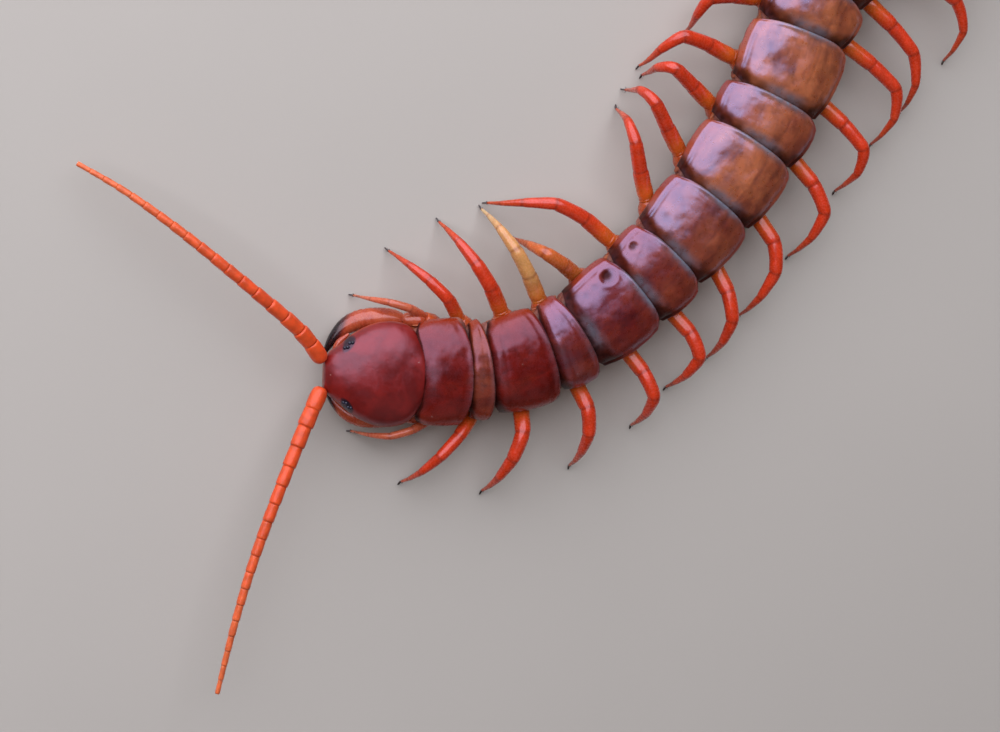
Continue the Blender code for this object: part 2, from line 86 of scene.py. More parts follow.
# The front dip of plates 3 and 4, then of plate 2: a slanting front rim with a faint groove behind it
RIDGED_DIP = (
    (0.0, 1.0), (0.4, 0.93), (0.8, 0.62), (1.0, 0.42), (2.0, 0.12), (2.2, 0.15), (2.5, 0.05), (3.2, 0.0),
)
SHORT_DIP = ((0.0, 0.8), (0.25, 0.6), (0.45, 0.4), (1.75, 0.1), (1.95, 0.12), (2.2, 0.05), (2.8, 0.0))
HIND_DIP = ((0.0, 0.2), (0.08, 0.09), (0.3, 0.03), (0.65, 0.12), (1.5, 0.0))
# Plate 1 rises from the head's height to that of the back
NECK_DIP = 0.5
# Plates at least this long dip by the full tables
FULL_DIP_LENGTH = 4.2
# Share of its length from which the last plate falls away, and by how much
LAST_FALL = (0.45, 1.5)
# How square the dome of a plate is across, and the steps of its grid
DOME_POWER = 2.15
PLATE_STEP = 0.21
PLATE_COLUMNS = 72
# How far a plate's front lies under the plate ahead of it
TUCK = 0.35
# How far to the left of the midline the foremost plates lie
PLATES_LEFT = (0.3, 0.3, 0.35, 0.1)
# How far back the front corners of a plate lie, how far ahead its hind ones do, and how square they are. Plate 1
# has its own, and its front corners reach ahead round the head
FRONT_CORNER = (1.3, 5.0)
NECK_CORNER = (-0.85, 3.0)
HIND_CORNER = (0.7, 4.0)
NECK_HIND_CORNER = (1.0, 3.0)
# How far plate 1 reaches ahead besides, and how its very corners are rounded off
NECK_REACH = 0.2
NECK_ROUND = (1.1, 14)
# How far ahead the sides of the last plate's hind edge lie
LAST_ROUND = 2.2
# The two grooves along a plate: share of the half width, and width
SUTURE_ACROSS = 0.3
SUTURE_WIDTH = 0.12
# The groove and the raised rim along a plate's side: angle from the plate's ridge, width in degrees, depth or
# height, and how far it draws the side in or pushes it out, as a share of the half width
GROOVE_ANGLE = 62.0
GROOVE_WIDTH = 4.0
GROOVE_DEPTH = 0.17
GROOVE_IN = 0.014
RIDGE_ANGLE = 71.0
RIDGE_WIDTH = 5.0
RIDGE_HEIGHT = 0.12
RIDGE_OUT = 0.012
# Width of the painted grey reflection of the sky along a plate's edges
SEAM_WIDTH = 0.6
# The paler stripe along the back: by how much, and how far out as a share of the width
STRIPE_TONE = 0.25
STRIPE_HALF = 0.35
# First plates with two grooves, with a sheen, with a rim, and with the full gloss
FIRST_SUTURED = 2
FIRST_SHEEN = 4
FIRST_RIMMED = 5
FIRST_GLOSSY = 7
# Plate, place behind its front, place across, radius and depth of an old dent
DENTS = (
    (5, 7.2, -4.6, 0.95, 0.55), (5, 4.6, -4.5, 0.45, 0.12), (5, 3.0, -4.2, 0.5, 0.1), (6, 3.7, -5.05, 0.6, 0.36),
    (7, 3.1, -4.4, 0.7, 0.12), (3, 2.2, -3.4, 0.8, 0.06),
)
# How far back the painted shade under the plate ahead reaches on a plate: plates 1 to 4, then all the others
DARK_FRONTS = (0.6, 0.65, 1.0, 1.0, 1.9)
# How much further back it reaches at the sides of a rimmed plate
DARK_CORNERS = 0.9
# How glossy the plates' finishes are, their colours on the sides, their painted shade in grooves, dents and at
# joints, and the duller sheen there
SHELL_GLOSS = {"satin_cuticle": 0.0, "sheen_cuticle": 0.75, "plate_cuticle": 1.0}
PLATE_SIDE_COLOUR = (0.34, 0.045, 0.012)
# Painted shade in grooves and dents
HOLLOW_SHADE_COLOUR = (0.05, 0.008, 0.006)
# Painted shade where a plate lies under the plate ahead, from near black to dark red
JOINT_SHADE_COLOURS = ((0.012, 0.003, 0.003), (0.045, 0.009, 0.007))
DULL_SHEEN = (0.04, 0.03, 0.04)
# How far each plate is from crimson towards orange-brown
TONES = (0.0, 0.2, 0.0, 0.08, 0.08, 0.18, 0.4, 0.62, 0.5, 0.85, 0.68) + (0.72, 0.66) * 5

# Plates of the belly: share of the body's half width, height, points across, and share of the belly plate's half
# width at which its two grooves lie
BELLY_SHARE = 0.6
BELLY_Z = 2.22
BELLY_COLUMNS = 29
BELLY_GROOVES = 0.36

# The soft body: height under the back plates, points from top to bottom, length of its grid's steps, height of its
# folds, and the shares of the first and last plate's length at which it starts and ends
FLANK_TOP = 8.75
FLANK_COLUMNS = 44
FLANK_STEP = 0.28
FOLD_HEIGHT = 0.16
FLANK_START = -0.35
FLANK_END = 0.985
# Shields and breathing holes on a flank: so far behind the leg's root, height, and length, width and rise
FLANK_SHIELDS = (
    (-1.95, 4.7, (0.75, 0.95, 0.16)), (-1.3, 6.05, (0.95, 0.42, 0.12)), (2.0, 4.6, (0.8, 0.85, 0.16)),
    (3.3, 5.0, (0.6, 0.7, 0.12)), (-3.0, 5.2, (0.5, 0.6, 0.1)), (0.6, 3.1, (1.3, 0.35, 0.12)),
)
BREATHING = (3, 5, 8, 10, 12, 14, 16, 18, 20)
BREATHING_RIM = (1.5, 5.85, (0.62, 0.36, 0.16))
# The hole is a black lens, painted shade inside the opening
BREATHING_HOLE = (1.5, 5.85, (0.44, 0.17, 0.19))

# Where a leg leaves the body, as a share of the half width and so far beyond it, its height, and how it leans out
FLANK_WIDTH = 0.83
ROOT_BEYOND_FLANK = 0.8
ROOT_Z = 4.4
ROOT_OUTWARD = 0.25
# Share of a plate's length at which its leg leaves: legs 1 to 7, then all the others
ROOT_SHARES = {
    "right": (0.19, -0.13, 0.5, 0.5, 0.5, 0.42, 0.45, 0.35), "left": (0.35, 0.5, 0.5, 0.5, 0.5, 0.42, 0.45, 0.35),
}
# How far outside its root a leg's course starts, and how far its skin reaches back in
GAP = 0.3
ROOT_DEPTH = 0.5
# Length in plan at which a knee is at its plain height, of legs 1, 2 and all the others, and how much a knee rises
# for each millimetre that the leg is shorter in plan
LEG_LENGTHS = (10.5, 14.5, 16.5)
KNEE_Z = 6.0
KNEE_RISE = 0.22
# Height at which a foot's claw starts, how much of the rise is left in the bend at the knee, and how the foot comes
# down: share of the shin's way in plan, and share of its length
FOOT_STEM = 0.6
KNEE_BEND_RISE = 0.4
FOOT_FALL = (0.7, -1.3)
# Radii at even steps from a leg's root to its foot
LEG_RADII = (0.95, 1.12, 1.08, 1.0, 0.96, 0.88, 0.78, 0.62, 0.45, 0.29, 0.17)
# Girth of legs 1, 2 and all the others, and of the hip of a first leg, as shares of the full ones
LEG_GIRTHS = (0.55, 0.84, 1.0)
FIRST_COXA_GIRTH = 0.75
# Knee out and ahead, foot out and ahead, for the legs that stand in no regular stride
STANCES = {
    "right": (
        (8.6, 4.0, 9.3, 8.5), (10.2, 3.0, 15.0, 8.4), (12.1, 1.9, 19.2, 4.6), (12.7, 0.6, 19.5, 1.2),
        (11.0, 2.0, 14.2, 3.3), (15.0, 2.2, 20.8, 8.4), (14.4, -4.5, 16.6, -6.8), (15.6, -2.8, 16.8, -2.7),
        (15.4, -0.8, 15.9, 1.0), (15.5, 0.9, 17.2, 6.0), (14.0, 3.5, 12.9, 7.7),
    ),
    "left": (
        (8.4, 5.4, 8.5, 9.8), (10.3, 4.5, 15.0, 9.5), (11.0, 1.9, 17.3, 6.7), (11.4, 0.9, 17.4, 4.4),
        (12.9, 0.7, 16.8, 4.4), (13.0, 1.2, 15.4, 6.6), (12.6, 3.6, 16.1, 9.4), (13.1, 3.5, 15.3, 11.7),
        (14.5, 3.8, 15.6, 11.0), (15.6, 3.7, 16.5, 9.4), (17.3, 3.2, 18.9, 10.2), (17.4, 2.1, 22.2, 8.2),
        (18.5, -2.2, 23.6, 2.6),
    ),
}
# The legs behind them: first leg of a stride, legs to a stride, how far ahead its first and last feet stand,
# how far out its first and last knees and feet are, and a knee's way ahead as a share of its foot's less an offset
NEXT_STRIDE = 14
STRIDE_LEGS = 7
STRIDE = (-5.5, 11.5)
STRIDE_KNEES_OUT = (14.2, 15.0)
STRIDE_FEET_OUT = (16.8, 15.8)
KNEE_FOLLOWS = 0.42
KNEE_OFFSET = 0.8
# Where the joints of a leg lie along it, and its swell between two joints
LEG_JOINTS = (0.0, 0.055, 0.29, 0.52, 0.735, 0.89, 1.0)
SWELL = (
    (0.0, 0.95), (0.05, 0.98), (0.18, 1.0), (0.5, 0.99), (0.8, 1.03), (0.93, 1.03), (0.985, 0.98), (1.0, 0.92),
)
# How straight a leg is between two joints
LEG_STRAIGHTNESS = 0.6
# Claws: girth of the one that a leg stands on and how far ahead of the foot it lands, then share of the claw length
# and girth of its side claws and of the spur, which grows so many rings before the end of the leg
CLAW_GIRTH = 0.8
CLAW_AHEAD = 0.05
SIDE_CLAW = (0.26, 0.35)
SPUR = (0.45, 0.5)
SPUR_RING = 11

# Last legs, trailed behind the body
LAST_LEG_POINTS = (
    (3.3, -1.0, 4.9), (4.2, -6.8, 5.9), (5.6, -12.2, 5.6), (7.0, -17.0, 4.2), (8.3, -21.2, 2.1), (9.2, -24.5, 0.6),
)
LAST_LEG_RADII = (1.25, 1.55, 1.3, 1.05, 0.75, 0.34)
LAST_LEG_JOINTS = (0.0, 0.05, 0.3, 0.53, 0.74, 0.9, 1.0)
# The short cones that carry a leg and a last leg: way from the leg's root, radius, darkness of the joint
HIP_CONE = (
    (-2.6, 1.5, 0.0), (-1.6, 1.7, 0.0), (-0.9, 1.6, 0.0), (-0.45, 1.36, 0.0), (-0.15, 1.18, 0.1), (0.02, 1.1, 0.5),
    (0.1, 0.98, 0.5),
)
LAST_HIP_CONE = (
    (-5.0, 2.1, 0.0), (-3.6, 2.25, 0.0), (-2.2, 2.1, 0.0), (-1.0, 1.8, 0.0), (-0.4, 1.6, 0.2), (-0.15, 1.5, 0.8),
    (-0.05, 1.3, 1.0),
)
# Spines on the thigh of a last leg: place in its centre line, and angles above the inward direction, in radians.
# Then the length and the girth of a spine
THIGH_SPINES = ((16, (-1.9, -1.2)), (19, (-1.6, -0.9)), (22, (-2.2, -1.4, -0.5)))
THIGH_SPINE = (0.5, 0.7)

# Head: distance behind its front, half width, height of the crown and of the rim
HEAD_RINGS = (
    (0.0, 1.9, 6.8, 5.6), (0.6, 2.7, 7.4, 5.7), (1.8, 3.65, 8.1, 5.9), (3.6, 5.15, 8.8, 6.0), (6.0, 6.4, 9.3, 6.1),
    (8.3, 6.85, 9.5, 6.2), (9.8, 6.72, 9.55, 6.3), (10.8, 6.45, 9.54, 6.3), (11.5, 6.05, 9.5, 6.28),
    (12.05, 5.45, 9.46, 6.22), (12.4, 4.7, 9.42, 6.2),
)
# Where the middle of its hind edge lies, how far its hind corners lie ahead of that, and the steps of its grid
HEAD_HIND = 12.4
HEAD_BOW = 0.65
HEAD_STEP = 0.2
# Height and half width of its underside
HEAD_UNDER_Z = 5.2
HEAD_UNDER_HALF = 4.5
# Dark patch round the eyes: its middle, across and behind the head's front, its half length and half width
EYE_PLACE = (3.95, 2.8)
EYE_PATCH = (1.25, 0.46)
PIGMENT_COLOUR = (0.008, 0.006, 0.012)
# The four lenses of an eye: distance behind the head's front, angle from its crown
EYE_LENSES = ((2.3, 57.5), (2.62, 53.5), (2.92, 61.5), (3.24, 57.5))
# Share of an antenna's length, radius
ANTENNA_RADII = ((0.0, 0.98), (0.03, 1.08), (0.12, 1.0), (0.3, 0.82), (0.6, 0.62), (0.85, 0.42), (1.0, 0.3))
# The first article, rounded where it sits in the head: distance from its outer end, radius
ANTENNA_BASE = (
    (3.05, 0.25), (3.0, 0.5), (2.85, 0.75), (2.6, 0.93), (2.2, 1.05), (1.6, 1.1), (0.9, 1.08), (0.35, 1.06),
    (0.1, 1.02), (0.0, 0.94),
)
# Lengths of the first, third, seventh and last article, beside one another, and where the first three stand
ARTICLE_LENGTHS = (0.9, 1.25, 1.05, 0.85)
ARTICLE_PLACES = (0, 2, 6)
# First article with bristles all over, and the girth of the core that shows between articles, as a share of theirs
FIRST_HAIRY = 6
CORE_GIRTH = 0.87
ANTENNA_POINTS = {
    "right": (
        (2.5, 0.75, 6.3), (5.9, 3.4, 7.0), (11.6, 9.8, 7.5), (18.0, 17.3, 7.0), (23.5, 24.4, 5.8), (27.2, 30.3, 4.0),
    ),
    "left": (
        (2.6, 0.8, 6.3), (6.7, 2.9, 7.0), (14.3, 6.4, 7.9), (22.5, 9.7, 8.1), (31.3, 12.5, 7.9), (40.4, 14.7, 7.0),
    ),
}
# Poison claws: points from root to tip, radii at even steps, and the joints as shares of the length
FORCIPULE_POINTS = (
    (5.9, -10.9, 3.8), (6.35, -9.6, 3.7), (6.5, -7.6, 3.6), (6.35, -5.3, 3.4), (5.6, -3.6, 3.1), (4.3, -2.2, 2.9),
    (2.8, -1.2, 2.8), (1.7, -0.7, 2.8),
)
FORCIPULE_RADII = (1.1, 1.35, 1.45, 1.35, 1.1, 0.75, 0.4, 0.1)
FORCIPULE_JOINTS = (0.39, 0.45, 0.5)
# The rounded lobe at the root of a poison claw: points, and radii along them
FANG_ROOT = ((6.0, -10.6, 4.0), (6.25, -11.4, 4.3), (6.3, -12.3, 4.6), (6.0, -13.1, 4.8), (5.5, -13.7, 4.8))
FANG_ROOT_RADII = (0.5, 0.95, 1.02, 0.95, 0.5)
# Girth of a poison claw as a share of the full one, and the share of its length beyond which it is dark
FANG_GIRTHS = {"right": 1.0, "left": 0.88}
FANG_DARK_FROM = {"right": 0.6, "left": 0.76}
# How much further back its outer edge is dark, and the place that the edge faces away from
FANG_EDGE = 0.14
FANG_MIDDLE = (0.0, -6.5, 0.0)
# The plate that carries the poison claws: front and hind edge, half width, heights of the lower and the upper face
# at its edges, and the shares of its width between which it has its teeth
SHIELD_FRONT = 6.7
SHIELD_HIND = 12.0
SHIELD_HALF = 4.55
SHIELD_LOW = 3.5
SHIELD_HIGH = 3.6
TOOTH_BAND = (0.05, 0.42)
# Palps: points, radii at even steps, and joints
PALP_POINTS = ((1.7, -3.0, 4.0), (2.6, -2.0, 4.2), (3.7, -2.4, 4.35), (4.8, -3.7, 4.5))
PALP_RADII = (0.5, 0.45, 0.42, 0.16)
PALP_JOINTS = (0.0, 0.34, 0.66, 1.0)
# Pairs of mouthparts: points, and radii along them
MAXILLAE = (
    (((2.0, -4.6, 4.0), (1.5, -3.4, 3.8), (0.8, -2.3, 3.75), (0.45, -1.7, 3.8)), (0.6, 0.85, 0.7, 0.3)),
    (((2.2, -4.9, 4.3), (2.3, -3.9, 4.1), (1.9, -3.1, 4.0)), (0.6, 0.8, 0.5)),
    (((0.9, -4.4, 4.3), (1.2, -3.0, 4.4), (0.9, -1.9, 4.5)), (0.5, 0.75, 0.4)),
)

# Camera and what it looks at, and which way is up in its picture
CAMERA_PLACE = (-76.91, -106.80, 295.43)
CAMERA_TARGET = (16.63, -59.14, 7.0)
CAMERA_UP = (-0.7519, 0.6449, -0.1373)
# The two lights: place, size in metres and colour. The world adds a faint warm light from all around
SKY_LIGHT = ((-290.0, 10.0, 300.0), (0.8, 0.72), (0.92, 0.9, 1.0))
FILL_LIGHT = ((330.0, -240.0, 330.0), (0.4, 0.4), (1.0, 0.86, 0.74))
WORLD_COLOUR = (0.66, 0.58, 0.48, 1.0)
WORLD_STRENGTH = 0.055


class CentipedeShell(bpy.types.PropertyGroup):
    thickness: FloatProperty(
        name="Plate thickness", description="Thickness of a back or belly plate", default=0.0003, unit="LENGTH",
        precision=5, min=0.0001, max=0.0006,
    )
    overlap: FloatProperty(
        name="Overlap", description="How far a back plate reaches over the next one", default=0.0005, unit="LENGTH",
        precision=5, min=0.0, max=0.001,
    )
    suture_depth: FloatProperty(
        name="Suture depth", description="Depth of the two grooves along a back plate", default=0.00004,
        unit="LENGTH", precision=6, min=0.0, max=0.0002,
    )
    unevenness: FloatProperty(
        name="Unevenness", description="Height of the soft waves in a back plate", default=0.00012, unit="LENGTH",
        precision=6, min=0.0, max=0.0003,
    )
    crimson: FloatVectorProperty(
        name="Crimson", description="Colour of the foremost plates", subtype="COLOR", default=(0.13, 0.006, 0.003),
    )
    brown: FloatVectorProperty(
        name="Orange-brown", description="Colour of the plates further back", subtype="COLOR",
        default=(0.42, 0.122, 0.041),
    )
    # Painted reflection: a bluish grey that stands in for the sky reflected along the edges where two plates meet
    seam: FloatVectorProperty(
        name="Seam", description="Colour along the edges where two plates meet", subtype="COLOR",
        default=(0.17, 0.2, 0.25),
    )
    membrane: FloatVectorProperty(
        name="Membrane", description="Colour of the soft flank", subtype="COLOR", default=(0.2, 0.05, 0.035),
    )


class CentipedeHead(bpy.types.PropertyGroup):
    crimson: FloatVectorProperty(
        name="Head crimson", description="Colour of the head shield", subtype="COLOR", default=(0.2, 0.011, 0.008),
    )
    rim: FloatVectorProperty(
        name="Head rim", description="Colour of the head's lower edge", subtype="COLOR", default=(0.4, 0.06, 0.02),
    )
    fang: FloatVectorProperty(
        name="Poison claw", description="Colour of the poison claws and mouthparts", subtype="COLOR",
        default=(0.46, 0.09, 0.035),
    )
    black: FloatVectorProperty(
        name="Claw tip", description="Colour of claw tips and eyes", subtype="COLOR", default=(0.008, 0.006, 0.007),
    )
    eye_radius: FloatProperty(
        name="Eye radius", description="Radius of one of the four lenses on each side", default=0.00025,
        unit="LENGTH", precision=5, min=0.0001, max=0.0006,
    )
    antenna: FloatVectorProperty(
        name="Antenna", description="Colour of the antennae", subtype="COLOR", default=(0.74, 0.085, 0.018),
    )
    articles: IntProperty(
        name="Articles", description="Number of articles in an antenna", default=18, min=12, max=30,
    )
    bristle_length: FloatProperty(
        name="Bristle length", description="Length of the fine bristles on the outer articles", default=0.00016,
        unit="LENGTH", precision=5, min=0.0, max=0.0005,
    )


class CentipedeLegs(bpy.types.PropertyGroup):
    sides: IntProperty(name="Leg sides", description="Faces round a leg", default=22, min=8, max=48)
    root: FloatVectorProperty(
        name="Leg root", description="Colour of a leg where it leaves the body", subtype="COLOR",
        default=(0.66, 0.12, 0.014),
    )
    shaft: FloatVectorProperty(
        name="Leg", description="Colour of a leg", subtype="COLOR", default=(0.62, 0.046, 0.012),
    )
    foot: FloatVectorProperty(
        name="Foot", description="Colour of a leg near its claw", subtype="COLOR", default=(0.5, 0.07, 0.02),
    )
    amber: FloatVectorProperty(
        name="Amber leg", description="Colour of the one amber leg", subtype="COLOR", default=(0.62, 0.3, 0.1),
    )
    claw_length: FloatProperty(
        name="Claw length", description="Length of the claw on a foot", default=0.0011, unit="LENGTH", precision=5,
        min=0.0005, max=0.002,
    )


class CentipedeStage(bpy.types.PropertyGroup):
    floor: FloatVectorProperty(
        name="Floor", description="Colour of the plain floor", subtype="COLOR", default=(0.5, 0.48, 0.43),
    )
    floor_size: FloatProperty(
        name="Floor size", description="Side of the square floor", default=4.0, unit="LENGTH", min=0.5, max=10.0,
    )
    key_power: FloatProperty(
        name="Sky light", description="Power of the large cool light, in watts", default=5.4, min=0.0,
    )
    fill_power: FloatProperty(
        name="Fill light", description="Power of the weaker warm light, in watts", default=0.1, min=0.0,
    )
    lens: FloatProperty(name="Lens", description="Focal length in millimetres", default=85.0, min=20.0, max=200.0)


# ---- places along the body


def along(start, heading, turn, length):
    """The place and heading at the end of an arc that turns by so many degrees."""
    half = math.radians(turn / 2)
    chord = length * (math.sin(half) / half if turn else 1.0)
    aim = math.radians(heading + turn / 2)
    return start + chord * Vector((-math.sin(aim), math.cos(aim), 0.0)), heading + turn


def plate_length(plate):
    """Length of a plate of the back. Plate 0 is the head shield."""
    return PLATES[plate - 1][0] if plate else HEAD_LENGTH


def spine_joints():
    """Places on the floor under the midline, at the front of the head and behind each plate."""
    places = [Vector((*HEAD_FRONT, 0.0))]
    for plate in range(len(PLATES) + 1):
        turn = COURSE[plate + 1] - COURSE[plate]
        places.append(along(places[-1], COURSE[plate], turn, plate_length(plate))[0])
    return places


JOINTS = spine_joints()


def start_heading(plate):
    return COURSE[plate] if plate else COURSE[0] + HEAD_TURN


def stand(plate, share):
    """Floor place under a share of a plate's length, and the turn of the body there."""
    turn = (COURSE[plate + 1] - COURSE[plate]) * share
    floor, heading = along(JOINTS[plate], start_heading(plate), turn, plate_length(plate) * share)
    return floor, Matrix.Rotation(math.radians(heading), 3, "Z")


def beside(plate, share, side, place):
    """A point (out, ahead, up) beside the body, in the frame of the whole model."""
    floor, turn = stand(plate, share)
    return floor + turn @ Vector((side * place[0], -place[1], place[2]))


def on_body(plate, behind, across, up):
    """Points from arrays of the way behind a plate's front edge, across to the left, and up."""
    behind, across, up = np.broadcast_arrays(behind, across, up)
    turn = math.radians(COURSE[plate + 1] - COURSE[plate]) * behind / plate_length(plate)
    chord = behind * np.sinc(turn / 2 / np.pi)
    aim = math.radians(start_heading(plate)) + turn / 2
    heading = math.radians(start_heading(plate)) + turn
    x = JOINTS[plate].x - chord * np.sin(aim) + across * np.cos(heading)
    y = JOINTS[plate].y + chord * np.cos(aim) + across * np.sin(heading)
    return np.stack([x, y, up], axis=-1)


def through(table, at, column=1):
    """Values of a smooth curve through a table's rows, whose first column is the place."""
    rows = np.array(table, float)
    xs, ys = rows[:, 0], rows[:, column]
    slopes = np.gradient(ys, xs)
    at = np.clip(at, xs[0], xs[-1])
    i = np.clip(np.searchsorted(xs, at, side="right") - 1, 0, len(xs) - 2)
    step = xs[i + 1] - xs[i]
    s = (at - xs[i]) / step
    t = 1.0 - s
    return (
        ys[i] * t * t * (1 + 2 * s) + ys[i + 1] * s * s * (1 + 2 * t)
        + step * (slopes[i] * s * t * t - slopes[i + 1] * s * s * t)
    )


def hermite(start, end, leave, arrive, share):
    """A point of the cubic that leaves the start and arrives at the end with the given slopes."""
    s, t = share, 1.0 - share
    return start * t * t * (1 + 2 * s) + end * s * s * (1 + 2 * t) + leave * s * t * t - arrive * s * s * t


def smooth_path(points, steps):
    """Points of a smooth curve through the given ones, with so many steps between each pair."""
    path = []
    for i in range(len(points) - 1):
        before = points[max(i - 1, 0)]
        start, end = points[i], points[i + 1]
        after = points[min(i + 2, len(points) - 1)]
        leave, arrive = (end - before) / 2, (after - start) / 2
        path += [hermite(start, end, leave, arrive, step / steps) for step in range(steps)]
    return path + [points[-1]]


def shares_along(points):
    """The share of a path's length at each of its points."""
    steps = np.linalg.norm(np.diff(np.array(points), axis=0), axis=1)
    reach = np.concatenate([[0.0], np.cumsum(steps)])
    return reach / reach[-1]


def at_shares(points, shares):
    """Points of a path at shares of its length."""
    points = np.array(points)
    own = shares_along(points)
    return np.stack([np.interp(shares, own, points[:, axis]) for axis in range(3)], axis=-1)


def waves(points, size, seed=0.0):
    """Soft noise between about -1 and 1 at each point, with waves of about so many millimetres."""
    flat = points.reshape(-1, 3)
    values = [noise.noise(Vector(point) / size + Vector((seed, 0.0, 0.0))) for point in flat]
    return np.array(values).reshape(points.shape[:-1]) * 1.7


def hump(distance, width, power=2):
    """1 where the distance is 0, falling softly to nothing beyond the width."""
    return np.exp(-((distance / width) ** power))


def spaced(values):
    """The shares from 0 to 1 at which evenly spaced values lie."""
    return np.linspace(0.0, 1.0, len(values))


def ramp(values, low, high):
    """0 below the low value, 1 above the high one."""
    return np.clip((values - low) / (high - low), 0.0, 1.0)


# ---- meshes


def linked(name, mesh):
    """A new object in the scene for a mesh."""
    obj = bpy.data.objects.new(name, mesh)
    bpy.context.scene.collection.objects.link(obj)
    return obj


def new_piece(name, vertices, faces, values=None):
    """A smooth-shaded object from points in millimetres, with named values at its points."""
    mesh = bpy.data.meshes.new(name)
    mesh.from_pydata((np.array(vertices) * MM).tolist(), [], faces)
    for label, numbers in (values or {}).items():
        mesh.attributes.new(label, "FLOAT", "POINT").data.foreach_set("value", np.ravel(numbers).astype(np.float32))
    mesh.shade_smooth()
    return linked(name, mesh)


def grid_faces(rows, columns, wrap=False):
    """Quads between the points of a grid. A wrapped grid closes from its last column to its first."""
    faces = []
    for row in range(rows - 1):
        for column in range(columns if wrap else columns - 1):
            after = (column + 1) % columns
            faces.append((row * columns + column, row * columns + after,
                          (row + 1) * columns + after, (row + 1) * columns + column))
    return faces


def face_outwards(obj):
    bm = bmesh.new()
    bm.from_mesh(obj.data)
    bmesh.ops.recalc_face_normals(bm, faces=bm.faces)
    bm.to_mesh(obj.data)
    bm.free()


def closed_tube(name, rows, values=None):
    """A piece from rings of points, closed at both ends."""
    count, around = rows.shape[:2]
    faces = grid_faces(count, around, wrap=True)
    faces += [tuple(range(around)), tuple(range((count - 1) * around, count * around))]
    obj = new_piece(name, rows.reshape(-1, 3), faces, values)
    face_outwards(obj)
    return obj


def finish_piece(obj, material, slot, *nodes):
    """Gives a piece its finish and lets it stand for solids. Its slot is not used."""
    obj.data.materials.clear()
    obj.data.materials.append(material)
    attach(obj, "root")
    if nodes:
        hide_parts(*nodes)
    return obj


# ---- Geometry Nodes


class Nodes:
    """A tree of nodes under construction."""

    def feed(self, socket, value):
        """Links a socket to another, or sets its value."""
        if isinstance(value, bpy.types.NodeSocket):
            self.tree.links.new(value, socket)
        elif hasattr(value, "__len__") and len(value) == 3 and socket.type == "RGBA":
            socket.default_value = (*value, 1.0)
        else:
            socket.default_value = value

    def math(self, operation, *values, clamp=False):
        node = self.tree.nodes.new("ShaderNodeMath")
        node.operation = operation
        node.use_clamp = clamp
        for socket, value in zip(node.inputs, values):
            self.feed(socket, value)
        return node.outputs[0]


class Tree(Nodes):
    """A Geometry Nodes tree, with named inputs for its sizes and for its material."""

    def __init__(self, name, **inputs):
        self.tree = bpy.data.node_groups.new(name, "GeometryNodeTree")
        self.tree.is_modifier = True
        sockets = self.tree.interface
        sockets.new_socket("Geometry", in_out="INPUT", socket_type="NodeSocketGeometry")
        for label, default in inputs.items():
            kind = "NodeSocketInt" if isinstance(default, int) else "NodeSocketFloat"
            sockets.new_socket(label, in_out="INPUT", socket_type=kind).default_value = default
        sockets.new_socket("Material", in_out="INPUT", socket_type="NodeSocketMaterial")
        sockets.new_socket("Geometry", in_out="OUTPUT", socket_type="NodeSocketGeometry")
        self.inputs = self.tree.nodes.new("NodeGroupInput").outputs

    def add(self, kind, settings=None, **sockets):
        """A node with its settings, and with values or links for sockets named as Blender names them."""
        node = self.tree.nodes.new(kind)
        for label, value in (settings or {}).items():
            setattr(node, label, value)
        for label, value in sockets.items():
            name = label.replace("_", " ")
            self.feed(next(s for s in node.inputs if s.name == name and s.enabled), value)
        return node

    def attribute(self, label, kind="FLOAT"):
        node = self.add("GeometryNodeInputNamedAttribute", {"data_type": kind}, Name=label)
        return next(s for s in node.outputs if s.enabled)

    def on_points(self, shape, turn, *scales):
        """Closes the tree with a shape on every point of the base, turned, and scaled by three attributes."""
        scale = self.add("ShaderNodeCombineXYZ", **dict(zip("XYZ", map(self.attribute, scales))))
        placed = self.add(
            "GeometryNodeInstanceOnPoints", Points=self.inputs["Geometry"], Instance=shape,
            Rotation=turn.outputs[0], Scale=scale.outputs[0],
        )
        return self.end(placed.outputs[0])

    def end(self, geometry):
        """Realises, sets the material and closes the tree."""
        real = self.add("GeometryNodeRealizeInstances", Geometry=geometry)
        smooth = self.add("GeometryNodeSetShadeSmooth", Geometry=real.outputs[0])
        finished = self.add("GeometryNodeSetMaterial", Geometry=smooth.outputs[0], Material=self.inputs["Material"])
        out = self.tree.nodes.new("NodeGroupOutput")
        self.tree.links.new(finished.outputs[0], out.inputs[0])
        return self.tree


def grown(name, base, tree, **values):
    """The plain mesh object that a tree makes from a base object, in place of the base."""
    modifier = base.modifiers.new(tree.name, "NODES")
    modifier.node_group = tree
    for item in tree.interface.items_tree:
        label = item.name.replace(" ", "_")
        if item.item_type == "SOCKET" and item.in_out == "INPUT" and label in values:
            modifier[item.identifier] = values[label]
    graph = bpy.context.evaluated_depsgraph_get()
    mesh = bpy.data.meshes.new_from_object(base.evaluated_get(graph))
    bpy.data.objects.remove(base)
    mesh.name = name
    return linked(name, mesh)


def tree_named(name, build):
    """A tree by name, built the first time that it is asked for."""
    return bpy.data.node_groups.get(name) or build(name)


def sweep_tree(name):
    """A round bar along every edge path of the base, as thick as its girth attribute says."""
    tree = Tree(name, Sides=16)
    curve = tree.add("GeometryNodeMeshToCurve", Mesh=tree.inputs["Geometry"])
    ring = tree.add("GeometryNodeCurvePrimitiveCircle", Resolution=tree.inputs["Sides"], Radius=1.0)
    bar = tree.add(
        "GeometryNodeCurveToMesh", Curve=curve.outputs[0], Profile_Curve=ring.outputs[0],
        Scale=tree.attribute("girth"), Fill_Caps=True,
    )
    return tree.end(bar.outputs[0])


